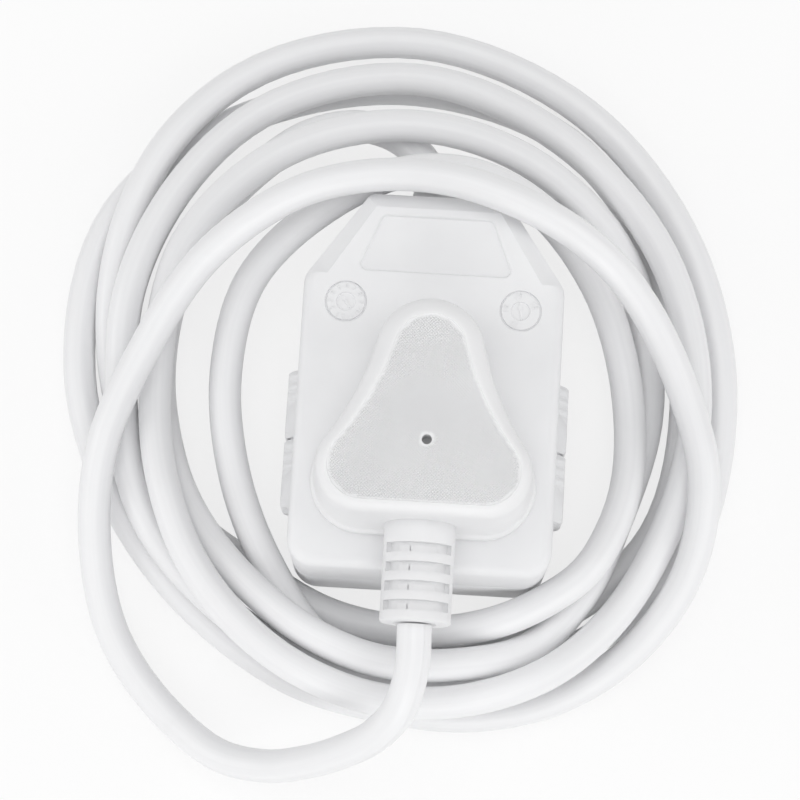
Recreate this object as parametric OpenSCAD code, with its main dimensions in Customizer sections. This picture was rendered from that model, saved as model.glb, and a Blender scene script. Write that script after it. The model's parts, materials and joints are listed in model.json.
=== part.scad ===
// Coiled three-core extension cord: a two-faced block coupler, its sheathed cord
// wound in loose loops, and a moulded three-pin plug seated in the front socket.
// Millimetres. Z is up, the coupler lies on z = 0 and its cord end faces +Y.

/* [Coupler] */
// Length of the coupler along the cord axis
coupler_len = 84; // [79:1:88]
// Width between the side walls
coupler_w = 57.5; // [57.5:0.5:64]
// Thickness of both shells together
coupler_h = 40; // [40:1:46]
// Length of the tapered cord end
taper_len = 19.5; // [12:0.5:21]
// Width of the narrow end face
narrow_w = 33; // [32:1:40]
// Plan radius of the wide corners
corner_r = 6; // [6:0.5:8]
// Rounding of the face edges
edge_r = 2.5; // [1.5:0.5:2.8]
// Thickness of the side walls
side_wall = 2.5; // [2:0.25:2.75]
// Thickness of the two socket faces
face_wall = 3; // [2.5:0.25:3.5]

/* [Front face] */
// Depth of the bare nameplate recess
plate_depth = 0.6; // [0.3:0.1:1]
// Width of the nameplate recess at its wide end
plate_wide = 35; // [30:0.5:36]
// Width of the nameplate recess at its narrow end
plate_narrow = 24.5; // [18:0.5:25]
// Length of the nameplate recess
plate_len = 13; // [8:0.5:13.5]
// Distance from the end face to the nameplate recess
plate_setback = 5.2; // [3:0.1:5.6]
// Radius of the two date dials
dial_r = 4.6; // [3:0.1:5]
// Distance between the dial centres
dial_spacing = 38.4; // [34:0.2:40]
// Distance from the shoulder back to the dial centres
dial_setback = 5.9; // [5.8:0.1:8.5]
// Depth of the dial rings
dial_depth = 0.4; // [0.2:0.1:0.8]
// Fall of the slopes beside the land
slope_drop = 2.6; // [1:0.2:3]
// Width of the slopes beside the land
slope_w = 4.2; // [3:0.2:5]

/* [Side grips] */
// Length of one grip pad
grip_len = 15.6; // [12:0.2:16]
// How far a pad stands out of the wall
grip_out = 2.6; // [1.5:0.1:3.5]
// Height of a pad on one shell
grip_h = 9; // [6:0.5:12]
// Distance from rib to rib
rib_pitch = 2.3; // [1.8:0.1:2.6]
// Ribs on one pad
rib_count = 3; // [2:1:4]
// Depth of the grooves between the ribs
rib_depth = 0.7; // [0.3:0.1:1]

/* [Pins and sockets] */
// Distance between the live and neutral pins
pin_gap_x = 25.4; // [25:0.1:26]
// Distance from the earth pin to the line of the other two
pin_gap_y = 28.6; // [28:0.1:29]
// Diameter of the live and neutral pins
pin_d = 7.05; // [6.8:0.05:7.2]
// Length of the live and neutral pins
pin_len = 18.6; // [17:0.1:18.8]
// Diameter of the earth pin
earth_d = 8.7; // [8.4:0.05:8.8]
// Length of the earth pin
earth_len = 28.6; // [27:0.1:28.8]
// Length of the live and neutral contact tubes
contact_len = 12; // [9:0.5:12]
// Length of the earth contact tubes
earth_contact_len = 22; // [16:0.5:22]
// Wall of a contact tube
contact_wall = 1; // [0.6:0.1:1]
// Position of the front earth socket on the cord axis
front_earth_y = 3; // [2:0.5:4]
// Position of the back earth socket on the cord axis
back_earth_y = -15; // [-16:0.5:-14.5]
// Thickness of the brass straps
strap_t = 1; // [0.6:0.1:1.2]
// Width of the live and neutral straps
strap_w = 5; // [3:0.5:6]

/* [Shutters] */
// Thickness of a shutter plate
shutter_t = 1.6; // [1.2:0.1:1.6]
// How far a closed shutter laps a pin hole
shutter_lap = 0.45; // [0.2:0.05:0.5]
// Length of the front shutter plate
front_shutter_len = 14.7; // [14:0.1:15]
// Travel of the front shutter
front_shutter_travel = 13.2; // [12.6:0.1:13.2]
// Room of the front shutter springs at rest
front_spring_room = 11; // [10.5:0.5:12]
// Room of the back shutter springs at rest
back_spring_room = 12.3; // [12:0.1:13]
// Thickness of the spring wire
spring_wire = 0.4; // [0.3:0.05:0.6]
// Width of a flat spring
spring_w = 3; // [2:0.25:3.5]
// Bends of a flat spring
spring_bends = 6; // [4:2:8]

/* [Plug] */
// Height of the plug body above the socket face
plug_h = 24; // [22:1:26]
// Radius of the earth lobe of the plug outline
earth_lobe_r = 13.1; // [11.5:0.1:13.4]
// Radius of the two pin lobes of the plug outline
pin_lobe_r = 11.5; // [11:0.1:12]
// Radius of the hollow flanks of the plug outline
flank_r = 60; // [50:5:90]
// Height of the rim round the base
rim_h = 3; // [2:0.25:4]
// Inset of the body above the rim
rim_step = 0.8; // [0.4:0.1:1.2]
// Draft of the body from the rim up to the top rounding
body_draft = 0.8; // [0.8:0.1:2]
// Inset of the flat face panel from the outline
panel_inset = 3.7; // [3:0.1:4.4]
// Further inset of the face panel round the earth lobe
crown_inset = 1.4; // [0:0.2:2]
// Diameter of the gate mark in the face panel
gate_d = 2.2; // [1.5:0.1:3]
// Distance from the pin line up to the gate mark
gate_rise = 8.3; // [7:0.1:10]
// Height of the rigid bridge that holds the pins
bridge_h = 5; // [4:0.5:6]
// Margin of the bridge round the pins
bridge_margin = 2.6; // [2:0.1:3]

/* [Strain reliefs] */
// Diameter of the plug strain relief
relief_d = 15.2; // [14.6:0.2:16]
// Length of the plug strain relief
relief_len = 23; // [22:0.1:25]
// Depth that the plug strain relief is moulded into the body
relief_set = 3.2; // [3:0.1:3.5]
// Height of the relief axis over the socket face
relief_z = 10; // [9.5:0.25:11]
// Distance from the body to the first slot
first_slot_gap = 4.3; // [4:0.1:6]
// Slots along the plug strain relief
slot_count = 4; // [3:1:4]
// Width of one slot
slot_w = 2.1; // [1.2:0.1:2.3]
// Distance from slot to slot
slot_pitch = 4.05; // [3.6:0.05:4.2]
// Width of the rails beside the slots
rail_w = 0.8; // [0.7:0.1:2]
// Diameter of the relief core
relief_core_d = 12.8; // [9:0.2:13]
// Diameter across the bridging blocks in the slots
relief_block_d = 14.4; // [11:0.2:14.6]
// Length of the bridging blocks along the relief
block_len = 1.2; // [0.8:0.1:2]
// Radius of the coupler boot at its root
boot_r = 6.5; // [6:0.1:7]
// Radius of the coupler boot at its tip
boot_tip_r = 5; // [4.5:0.1:5.5]

/* [Cord] */
// Diameter of the round sheath
cord_d = 7.4; // [7:0.1:7.4]
// Diameter of one insulated core
core_d = 2.4; // [2:0.1:2.4]

/* [Fasteners] */
// Shank diameter of the shell screws
screw_d = 2.4; // [2:0.1:2.6]
// Depth that the shell screws reach into the front shell
screw_grip = 11; // [9:0.5:12]
// Head diameter of the shell screws
screw_head_d = 4.2; // [3.8:0.1:4.4]
// Radius of a screw post
post_r = 3.3; // [3.1:0.1:3.3]
// Length of the cord clamp along the cord
clamp_w = 4; // [3:0.5:4.5]
// Distance between the clamp screws
clamp_spacing = 15; // [14:0.5:17]

/* [Fits] */
// Gap round a pin in its contact tube
contact_fit = 0.075; // [0.05:0.005:0.1]
// Gap round a pin in the socket face
hole_fit = 0.325; // [0.25:0.025:0.4]
// Gap round a sliding shutter
slide_gap = 0.3; // [0.25:0.05:0.35]
// Gap between a seated piece and its pocket
seat_gap = 0.03; // [0.02:0.01:0.1]

/* [Hidden] */
$fn = 48;
EPS = 0.01;

// Colours
white_abs = [0.93, 0.93, 0.92];
white_pvc = [0.9, 0.9, 0.9];
cream = [0.86, 0.84, 0.78];
brass = [0.8, 0.66, 0.3];
steel = [0.7, 0.71, 0.73];
LIVE = [0.42, 0.24, 0.13];
NEUTRAL = [0.2, 0.35, 0.75];
EARTH = [0.3, 0.62, 0.25];

// Levels through the thickness
parting_z = coupler_h / 2;
front_wall_z = coupler_h - face_wall;
front_shutter_z = front_wall_z - slide_gap - shutter_t;
carrier_top = front_shutter_z - slide_gap;
back_shutter_z = face_wall + slide_gap;
carrier_base = back_shutter_z + shutter_t + slide_gap;
strap_z = parting_z - strap_t / 2;
strap_top = parting_z + strap_t / 2;

// Plan of the coupler
half_len = coupler_len / 2;
half_w = coupler_w / 2;
half_narrow = narrow_w / 2;
shoulder_y = half_len - taper_len;
narrow_r = 2.9;
taper_angle = atan2(taper_len, half_w - half_narrow);

// Pin places, the front socket and the back socket turned end for end
pin_x = pin_gap_x / 2;
front_pin_y = front_earth_y - pin_gap_y;
back_pin_y = back_earth_y + pin_gap_y;
pin_r = pin_d / 2;
earth_r = earth_d / 2;
hole_r = pin_r + hole_fit;
earth_hole_r = earth_r + hole_fit;
contact_r = pin_r + contact_fit;
contact_or = contact_r + contact_wall;
earth_contact_r = earth_r + contact_fit;
earth_contact_or = earth_contact_r + contact_wall;

// Shutters and the rails that guide them
shutter_half_w = pin_x + hole_r + shutter_lap;
guide_x = shutter_half_w + slide_gap;
guide_w = 1.7;
carrier_half_w = guide_x + guide_w;
carrier_y0 = front_pin_y - contact_or - 2.8;
carrier_y1 = back_pin_y + contact_or + 1;
front_shutter_y0 = front_pin_y - hole_r - shutter_lap + front_shutter_travel;
front_shutter_y1 = front_shutter_y0 + front_shutter_len;
front_stop_y = front_shutter_y1 + front_spring_room;
back_shutter_y0 = back_pin_y - hole_r - shutter_lap;
back_shutter_y1 = back_pin_y + hole_r + shutter_lap;
back_stop_y = back_shutter_y0 - back_spring_room;
stop_w = 1.2;
spring_x = 12;
spring_h = 1;

// Cord end of the coupler
flange_r = 8.5;
flange_t = 2.2;
inner_end_y = half_len - side_wall;
flange_y = inner_end_y - 0.2 - flange_t;
clamp_room = 0.3;
tail_y0 = flange_y - clamp_w - 2 * clamp_room;
clamp_y = tail_y0 + clamp_room;
clamp_base = parting_z + 1;
clamp_h = 5.5;
clamp_half_w = clamp_spacing / 2 + 2.6;
cord_r = cord_d / 2;
core_r = core_d / 2;
lay_x = core_r + 0.8;
lay_low = 0.6;
lay_high = 1.6;
terminal_y = carrier_y1 + 0.3;
terminal_len = 2.7;
terminal_w = 4;
terminal_h = 5;
terminal_screw_r = 1;
terminal_head_r = 1.3;
strap_end_y = terminal_y + 0.2;

// Shell screws: places, and how deep the heads sink into the back
screw_x = carrier_half_w + 0.4 + post_r;
SCREW_Y = [carrier_y0 + 1.5, carrier_y1 - 3.2];
screw_sink = 3;
screw_head_h = 2;
screw_tip_z = parting_z + screw_grip;
clamp_screw_r = 1.2;

// Plug
plug_z = coupler_h;
earth_lobe_y = front_earth_y - 1.1;
pin_lobe_x = pin_x + 0.2;
pin_lobe_y = front_pin_y + 2.4;
bridge_z = plug_z + 1.5;
pin_head_z = bridge_z + bridge_h + 2;
crimp_h = 4.3;
crimp_w = 3.6;
chamber_top = pin_head_z + crimp_h + 1;
body_end_y = pin_lobe_y - pin_lobe_r;
relief_y = body_end_y + relief_set;
relief_end_y = relief_y - relief_len;
relief_axis = plug_z + relief_z;
relief_r = relief_d / 2;
relief_core_r = relief_core_d / 2;
relief_block_r = relief_block_d / 2;
first_slot_y = body_end_y - first_slot_gap;
core_way_w = 12.4;

// ---- Route of the cord ----

// Boot and coupler lead, from the coupler's end face to the coil
LEAD = [
    [0, 42, 20], [-0.6, 48, 19.8], [-3.2, 54.2, 19.2], [-9.5, 60.4, 18.1],
    [-19, 63.6, 16.6], [-30.5, 61.6, 14.6], [-41.5, 54, 12.4]
];
BOOT_KNOTS = 3;

// The coil: bearing about the coil centre (degrees from +Y, growing by 360 a loop),
// radius and height at each way-point
COIL_CENTRE = [-7, 4];
WINDING = [
    // First loop, low and close to the coupler
    [60, 58, 9.6], [90, 55.3, 5.2], [105, 54.5, 8.5], [120, 55, 12.3], [150, 57.6, 18.2],
    [165, 60.8, 20.2], [180, 63.8, 19], [195, 65.6, 17.2], [210, 67, 12.9],
    [225, 63.2, 12.3], [240, 58.8, 8.4], [270, 58, 4], [285, 58.6, 5.6],
    [300, 60.2, 9], [330, 59.2, 19],
    // Second loop, rising over the cord end
    [360, 57.5, 26.5], [390, 58, 24.5], [420, 58, 18.6], [450, 55.2, 14.6],
    [480, 58.2, 20.5], [495, 61.8, 21.4], [510, 65.5, 21.6], [525, 69.3, 22],
    [540, 72.2, 19.3], [555, 73.7, 17.7], [570, 74.1, 17.6], [585, 72.2, 13.4],
    [600, 69.8, 12.6], [630, 68.1, 12.6], [660, 68.2, 12.6], [690, 69.6, 12.6],
    // Third loop, on the second layer and down to the ground
    [720, 73, 12.6], [750, 71.8, 13.8], [780, 66.7, 16.4], [795, 65, 15.9],
    [810, 63.4, 13.4], [840, 64.7, 11.4], [870, 65, 12.9], [885, 67, 14.5],
    [900, 68.2, 11.4], [915, 69.8, 9.4], [930, 71, 5], [945, 73, 4],
    [960, 75.8, 4], [990, 74.9, 4], [1020, 76.3, 4], [1050, 80.5, 4],
    // Fourth loop, in to the coupler's sides and up
    [1080, 84.6, 4], [1110, 82.7, 9], [1125, 78.8, 12.4], [1140, 74.1, 12],
    [1155, 69.7, 8.2], [1170, 65.7, 4.6], [1185, 62.3, 4], [1200, 58.2, 4],
    [1230, 52.6, 4], [1237.5, 53.1, 4], [1245, 53.7, 4], [1260, 55, 5.2], [1275, 57.3, 10.5],
    [1290, 59.4, 17], [1297.5, 60.1, 19.4], [1305, 60.7, 21], [1320, 58.5, 17.4], [1350, 52.7, 11],
    [1380, 50.8, 15], [1410, 49.9, 25],
    // Fifth loop, over the boot, then under the others
    [1425, 47.8, 30], [1440, 45.3, 31.5], [1470, 41, 27], [1500, 40.5, 20],
    [1530, 39.3, 15], [1560, 42, 13], [1590, 51.6, 12.7], [1605, 60, 10.4],
    [1620, 64, 4.1], [1635, 63.4, 4], [1650, 62.6, 4], [1665, 64.6, 4],
    [1680, 67.3, 4], [1710, 66.6, 4], [1740, 68, 4], [1770, 72.2, 4],
    // Sixth loop, outermost, rising to the top
    [1800, 73, 4], [1830, 75, 4], [1845, 77.5, 4], [1860, 78.8, 4], [1890, 74, 4],
    [1920, 69, 4], [1950, 68.9, 4], [1965, 70.8, 4], [1980, 72.5, 4],
    [1995, 76.2, 4], [2010, 79.3, 4], [2025, 80.2, 8.5], [2040, 78.2, 14.5],
    [2055, 72.2, 21], [2070, 64.3, 22.8], [2100, 52.8, 33], [2130, 43, 44.3],
    // Over the coupler's end face and down to the far corner
    [2145, 41.6, 44], [2160, 41.5, 42.2], [2190, 43.8, 39.2], [2220, 49, 33],
    [2250, 58.2, 24.8], [2265, 67.2, 20.8], [2280, 76.8, 12.2], [2295, 86, 5],
    [2310, 91.2, 4.6]
];

// Plug lead, from the coil up to the plug strain relief
PLUG_LEAD = [
    [-42, -82, 8], [-31.5, -84, 13.5], [-22.2, -83.1, 21.8], [-13.8, -80.7, 30.3],
    [-6.7, -77.2, 39], [-2, -71.7, 46.1], [0, -63.5, 50], [0, -54.8, 50]
];

RING_STEP = 15;
FLANK_STEPS = 6;
LOBE_STEPS = 10;
CROWN_STEPS = 7;
COIL_SIDES = 6;
LEAD_SIDES = 8;
LEAD_RINGS = 2;

// ---- Route functions ----

function unit(v) = v / norm(v);

function winding_point(w) = [
    COIL_CENTRE[0] - w[1] * sin(w[0]),
    COIL_CENTRE[1] + w[1] * cos(w[0]),
    w[2]
];

// Tangent at way-point i: each chord weighs as much as the other one is long
function knot_tangent(k, i) =
    i == 0 ? unit(k[1] - k[0])
    : i == len(k) - 1 ? unit(k[i] - k[i - 1])
    : let (a = k[i] - k[i - 1], b = k[i + 1] - k[i])
      (unit(b) * norm(a) + unit(a) * norm(b)) / (norm(a) + norm(b));

// Cubic between way-points i and i + 1, s from 0 to 1
function between(k, t, i, s) =
    let (d = norm(k[i + 1] - k[i]))
    k[i] * (2 * pow(s, 3) - 3 * s * s + 1)
    + t[i] * d * (pow(s, 3) - 2 * s * s + s)
    + k[i + 1] * (3 * s * s - 2 * pow(s, 3))
    + t[i + 1] * d * (pow(s, 3) - s * s);

// Ring points from way-point a to way-point b, n[i] of them on stretch i
function stretch(k, t, n, a, b) = concat(
    [for (i = [a : b - 1]) for (j = [0 : n[i] - 1]) between(k, t, i, j / n[i])],
    [k[b]]
);

// A stretch whose two ends run straight for one diameter, with no ring crowding them
function squared(p, t0, t1, d) =
    let (first = p[0], last = p[len(p) - 1], room = 1.7 * d)
    concat(
        [first, first + t0 * d],
        [for (q = p) if (norm(q - first) > room && norm(q - last) > room) q],
        [last - t1 * d, last]
    );

CORD_KNOTS = concat(LEAD, [for (w = WINDING) winding_point(w)], PLUG_LEAD);
CORD_TANGENTS = [for (i = [0 : len(CORD_KNOTS) - 1]) unit(knot_tangent(CORD_KNOTS, i))];
CORD_SLOPES = [for (i = [0 : len(CORD_KNOTS) - 1]) knot_tangent(CORD_KNOTS, i)];
boot_knot = BOOT_KNOTS - 1;
coil_start = len(LEAD);
coil_end = len(LEAD) + len(WINDING) - 1;
cord_end = len(CORD_KNOTS) - 1;

// Rings on each stretch: one every RING_STEP degrees of the coil
CORD_STEPS = concat(
    [for (i = [0 : coil_start - 1]) LEAD_RINGS],
    [for (i = [0 : len(WINDING) - 2]) round((WINDING[i + 1][0] - WINDING[i][0]) / RING_STEP)],
    [for (i = [coil_end : cord_end - 1]) LEAD_RINGS]
);

function cord_run(a, b) = squared(
    stretch(CORD_KNOTS, CORD_SLOPES, CORD_STEPS, a, b),
    CORD_TANGENTS[a], CORD_TANGENTS[b], cord_d
);

// Direction of a path at point i: halfway between its two chords
function heading(p, i) =
    i == 0 ? unit(p[1] - p[0])
    : i == len(p) - 1 ? unit(p[i] - p[i - 1])
    : unit(unit(p[i + 1] - p[i]) + unit(p[i] - p[i - 1]));

// Distance from point q to the straight between a and b
function to_chord(q, a, b) =
    let (s = (q - a) * (b - a) / ((b - a) * (b - a)))
    norm(q - a - (b - a) * max(0, min(1, s)));

// Least distance from a path to itself, chords less than skip apart left out
function least_spacing(p, skip, samples) = min([
    for (i = [0 : len(p) - 2])
    for (j = [i + skip : 1 : len(p) - 2])
    for (m = [0 : samples - 1])
    to_chord(p[i] + (p[i + 1] - p[i]) * m / samples, p[j], p[j + 1])
]);

// Tube swept along points p, its radius r[i] at point i
module swept_tube(p, r, sides) {
    n = len(p);
    rings = [
        for (i = [0 : n - 1])
        let (h = heading(p, i), across = unit(cross(h, [0, 0, 1])), up = cross(across, h))
        for (s = [0 : sides - 1])
        p[i] + r[i] * (across * cos(s * 360 / sides) + up * sin(s * 360 / sides))
    ];
    walls = [
        for (i = [0 : n - 2])
        for (s = [0 : sides - 1])
        let (a = i * sides + s, b = i * sides + (s + 1) % sides)
        for (f = [[a, b, a + sides], [b, b + sides, a + sides]])
        f
    ];
    last = (n - 1) * sides;
    caps = concat(
        [for (s = [1 : sides - 2]) [0, s + 1, s]],
        [for (s = [1 : sides - 2]) [last, last + s, last + s + 1]]
    );
    polyhedron(points = rings, faces = concat(walls, caps));
}

module cord_tube(p, sides) {
    swept_tube(p, [for (q = p) cord_r], sides);
}

module core(p) {
    swept_tube(p, [for (q = p) core_r], LEAD_SIDES);
}

// ---- Small shared shapes ----

module pillar(r, z0, z1) {
    translate([0, 0, z0]) cylinder(r = r, h = z1 - z0);
}

module slab(x0, x1, y0, y1, z0, z1) {
    translate([x0, y0, z0]) cube([x1 - x0, y1 - y0, z1 - z0]);
}

module tube(r_in, r_out, z0, z1) {
    difference() {
        pillar(r_out, z0, z1);
        pillar(r_in, z0 - EPS, z1 + EPS);
    }
}

module both_sides() {
    children();
    mirror([1, 0, 0]) children();
}

// ---- Coupler shells ----

// Rounded post at one corner, full height, with rounded rims
module wide_corner(x, y) {
    for (z = [edge_r, coupler_h - edge_r])
        translate([x, y, z])
            rotate_extrude($fn = 32)
                translate([corner_r - edge_r, 0]) circle(edge_r, $fn = 16);
}

module narrow_corner(x, y) {
    for (z = [narrow_r, coupler_h - narrow_r])
        translate([x, y, z]) sphere(narrow_r, $fn = 32);
}

module block() {
    hull() {
        for (side = [-1, 1]) {
            wide_corner(side * (half_w - corner_r), corner_r - half_len);
            wide_corner(side * (half_w - corner_r), shoulder_y - 2);
            narrow_corner(side * (half_narrow - narrow_r), half_len - narrow_r);
        }
    }
}

// Plan of the hollow inside both shells
module cavity_plan() {
    x = half_w - side_wall;
    y0 = side_wall - half_len;
    chamfer = 3;
    nx = half_narrow - side_wall - 1;
    polygon([
        [-x, y0 + chamfer], [-x + chamfer, y0], [x - chamfer, y0], [x, y0 + chamfer],
        [x, shoulder_y - 3], [nx, inner_end_y], [-nx, inner_end_y], [-x, shoulder_y - 3]
    ]);
}

module cavity(z0, z1) {
    translate([0, 0, z0]) linear_extrude(z1 - z0) cavity_plan();
}

module pin_holes(earth_y, pin_y, z0, z1) {
    translate([0, earth_y, 0]) pillar(earth_hole_r, z0, z1);
    for (side = [-1, 1])
        translate([side * pin_x, pin_y, 0]) pillar(hole_r, z0, z1);
}

// One grip pad: sloping outer flank, ribs at its cord side
module grip_pad(y1, z_mid, up) {
    difference() {
        translate([0, y1, z_mid])
            rotate([90, 0, 0])
                linear_extrude(grip_len)
                    polygon([
                        [half_w - 1, 0], [half_w + grip_out, 0],
                        [half_w + grip_out, up * (grip_h - 3)],
                        [half_w + 0.4, up * grip_h], [half_w - 1, up * grip_h]
                    ]);
        for (i = [0 : rib_count])
            translate([half_w + grip_out - rib_depth, y1 - 1.6 - i * rib_pitch, z_mid - grip_h - 1])
                cube([rib_depth + 1, rib_pitch / 2, 2 * grip_h + 2]);
    }
}

module grips(up) {
    for (i = [0, 1])
        both_sides() grip_pad(front_earth_y + 0.2 - i * grip_len, parting_z, up);
}

// Wedge that falls away beside the land, along the tapered wall
module side_slope() {
    run = norm([taper_len, half_w - half_narrow]) + 4;
    over = 1;
    intersection() {
        translate([half_w, shoulder_y, coupler_h])
            rotate([0, 0, 180 - taper_angle])
                rotate([90, 0, 90])
                    linear_extrude(run)
                        polygon([
                            [slope_w, 0], [-over, -slope_drop * (slope_w + over) / slope_w],
                            [-over, 1], [slope_w, 1]
                        ]);
        slab(0, half_w, shoulder_y + 0.3, half_len + 1, parting_z, coupler_h + 1);
    }
}

module nameplate_recess() {
    r = 1.6;
    y1 = half_len - plate_setback;
    y0 = y1 - plate_len;
    translate([0, 0, coupler_h - plate_depth])
        linear_extrude(plate_depth + 1) {
            hull() {
                for (side = [-1, 1]) {
                    translate([side * (plate_wide / 2 - r), y0 + r]) circle(r);
                    translate([side * (plate_narrow / 2 - r), y1 - r]) circle(r);
                }
            }
        }
}

module dial_rings() {
    for (side = [-1, 1])
        translate([side * dial_spacing / 2, shoulder_y - dial_setback, 0]) {
            tube(dial_r - 0.35, dial_r, coupler_h - dial_depth, coupler_h + 1);
            tube(dial_r / 2 - 0.2, dial_r / 2, coupler_h - dial_depth, coupler_h + 1);
        }
}

module boot_hole() {
    translate([0, inner_end_y - 1, parting_z])
        rotate([-90, 0, 0]) cylinder(r = boot_r + seat_gap, h = side_wall + 2);
}

// Rails either side of a shutter, and the stop its springs lean on
module shutter_guides(z0, z1, stop_y) {
    both_sides() slab(guide_x, carrier_half_w, carrier_y0, carrier_y1, z0, z1);
    slab(-guide_x - EPS, guide_x + EPS, stop_y, stop_y + stop_w, z0, z1);
}

module screw_places() {
    for (side = [-1, 1])
        for (y = SCREW_Y)
            translate([side * screw_x, y, 0]) children();
}

module front_shell() color(white_abs) {
    difference() {
        union() {
            difference() {
                intersection() {
                    block();
                    slab(-half_w, half_w, -half_len, half_len, parting_z, coupler_h);
                }
                cavity(parting_z - 1, front_wall_z);
                boot_hole();
            }
            grips(1);
            shutter_guides(carrier_top, front_wall_z + EPS, front_stop_y);
            screw_places() pillar(post_r, parting_z, front_wall_z + EPS);
        }
        pin_holes(front_earth_y, front_pin_y, front_wall_z - 1, coupler_h + 1);
        screw_places() pillar(screw_d / 2 + seat_gap, parting_z - 1, screw_tip_z + 1);
        nameplate_recess();
        dial_rings();
        both_sides() side_slope();
    }
}

module back_shell() color(white_abs) {
    difference() {
        union() {
            difference() {
                intersection() {
                    block();
                    slab(-half_w, half_w, -half_len, half_len, 0, parting_z);
                }
                cavity(face_wall, parting_z + 1);
                boot_hole();
            }
            grips(-1);
            shutter_guides(face_wall - EPS, carrier_base, back_stop_y - stop_w);
            screw_places() pillar(post_r, face_wall - EPS, parting_z);
            // Posts under the cord clamp, and the cradle between them
            for (side = [-1, 1])
                translate([side * clamp_spacing / 2, clamp_y + clamp_w / 2, 0])
                    pillar(clamp_w / 2 + 0.4, face_wall - EPS, clamp_base);
            slab(-cord_r - 1, cord_r + 1, clamp_y, clamp_y + clamp_w, face_wall - EPS, parting_z);
        }
        pin_holes(back_earth_y, back_pin_y, -1, face_wall + 1);
        screw_places() pillar(screw_d / 2 + seat_gap, screw_sink, parting_z + 1);
        screw_places() pillar(screw_head_d / 2 + 0.1, -1, screw_sink + screw_head_h);
        for (side = [-1, 1])
            translate([side * clamp_spacing / 2, clamp_y + clamp_w / 2, 0])
                pillar(clamp_screw_r + seat_gap, parting_z / 2 - 1, clamp_base + 1);
        cord_way(seat_gap);
    }
}

// The room that the straight end of the cord takes inside the coupler
module cord_way(gap) {
    translate([0, tail_y0 - 1, parting_z])
        rotate([-90, 0, 0]) cylinder(r = cord_r + gap, h = flange_y - tail_y0 + 1);
}

// ---- Contacts and what carries them ----

module slit_tube(x, y, r_in, r_out, z0, z1) {
    slit = 1;
    translate([x, y, 0])
        difference() {
            tube(r_in, r_out, z0, z1);
            slab(-slit / 2, slit / 2, -r_out - 1, 0, z0 + 2, z1 + 1);
        }
}

// A shallow tab that joins a strap to the end of a contact tube
module contact_tab(x, y, side, z0, z1) {
    translate([x, y, 0])
        intersection() {
            tube(contact_r + 0.1, contact_or - 0.05, z0, z1);
            slab(min(0, side * 6), max(0, side * 6), -1.5, 1.5, z0, z1);
        }
}

module front_contact_carrier() color(cream) {
    difference() {
        slab(-carrier_half_w, carrier_half_w, carrier_y0, carrier_y1, strap_top, carrier_top);
        for (side = [-1, 1])
            translate([side * pin_x, front_pin_y, 0])
                pillar(contact_or + seat_gap, strap_top - 1, carrier_top + 1);
        translate([0, front_earth_y, 0])
            pillar(earth_contact_or + seat_gap, strap_top - 1, carrier_top + 1);
        translate([0, back_earth_y, 0])
            pillar(earth_contact_or + seat_gap, strap_top - 1, carrier_base + earth_contact_len);
    }
}

module back_contact_carrier() color(cream) {
    difference() {
        slab(-carrier_half_w, carrier_half_w, carrier_y0, carrier_y1, carrier_base, strap_z);
        for (side = [-1, 1])
            translate([side * pin_x, back_pin_y, 0])
                pillar(contact_or + seat_gap, carrier_base - 1, strap_z + 1);
        translate([0, back_earth_y, 0])
            pillar(earth_contact_or + seat_gap, carrier_base - 1, strap_z + 1);
        translate([0, front_earth_y, 0])
            pillar(earth_contact_or + seat_gap, coupler_h - earth_len - 0.5, strap_z + 1);
    }
}

module front_pin_contact(side) {
    slit_tube(side * pin_x, front_pin_y, contact_r, contact_or, carrier_top - contact_len, carrier_top);
}

module back_pin_contact(side) {
    slit_tube(side * pin_x, back_pin_y, contact_r, contact_or, carrier_base, carrier_base + contact_len);
}

module front_live_contact() color(brass) front_pin_contact(1);

module front_neutral_contact() color(brass) front_pin_contact(-1);

module front_earth_contact() color(brass)
    slit_tube(0, front_earth_y, earth_contact_r, earth_contact_or,
        carrier_top - earth_contact_len, carrier_top);

module back_live_contact() color(brass) back_pin_contact(1);

module back_neutral_contact() color(brass) back_pin_contact(-1);

module back_earth_contact() color(brass)
    slit_tube(0, back_earth_y, earth_contact_r, earth_contact_or,
        carrier_base, carrier_base + earth_contact_len);

module terminal(x) {
    difference() {
        slab(x - terminal_w / 2, x + terminal_w / 2, terminal_y, terminal_y + terminal_len,
            parting_z - terminal_h / 2, parting_z + terminal_h / 2);
        terminal_screw_place(x) pillar(terminal_screw_r + seat_gap, -1, terminal_h);
    }
}

module terminal_screw_place(x) {
    translate([x, terminal_y + terminal_len / 2, parting_z]) children();
}

module side_strap(side) {
    x = side * pin_x;
    slab(x - strap_w / 2, x + strap_w / 2, front_pin_y - contact_or, strap_end_y,
        strap_z, strap_top);
    for (y = [front_pin_y, back_pin_y])
        translate([x, y, 0]) pillar(contact_or - 0.05, strap_z, strap_top);
    terminal(x);
    contact_tab(x, front_pin_y, side, strap_top - EPS, carrier_top - contact_len);
    contact_tab(x, back_pin_y, side, carrier_base + contact_len, strap_z + EPS);
}

module live_strap() color(brass) side_strap(1);

module neutral_strap() color(brass) side_strap(-1);

module earth_strap() color(brass) {
    collar = earth_contact_or + 1.5;
    difference() {
        union() {
            slab(-strap_w / 2, strap_w / 2, back_earth_y, strap_end_y, strap_z, strap_top);
            for (y = [front_earth_y, back_earth_y])
                translate([0, y, 0]) pillar(collar, strap_z, strap_top);
            terminal(0);
        }
        for (y = [front_earth_y, back_earth_y])
            translate([0, y, 0]) pillar(earth_contact_or + seat_gap, strap_z - 1, strap_top + 1);
    }
}

module terminal_screws() color(steel) {
    for (x = [-pin_x, 0, pin_x])
        terminal_screw_place(x) {
            pillar(terminal_screw_r, 0.2, terminal_h / 2);
            pillar(terminal_head_r, terminal_h / 2, terminal_h / 2 + 1.3);
        }
}

// ---- Shutters ----

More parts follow.
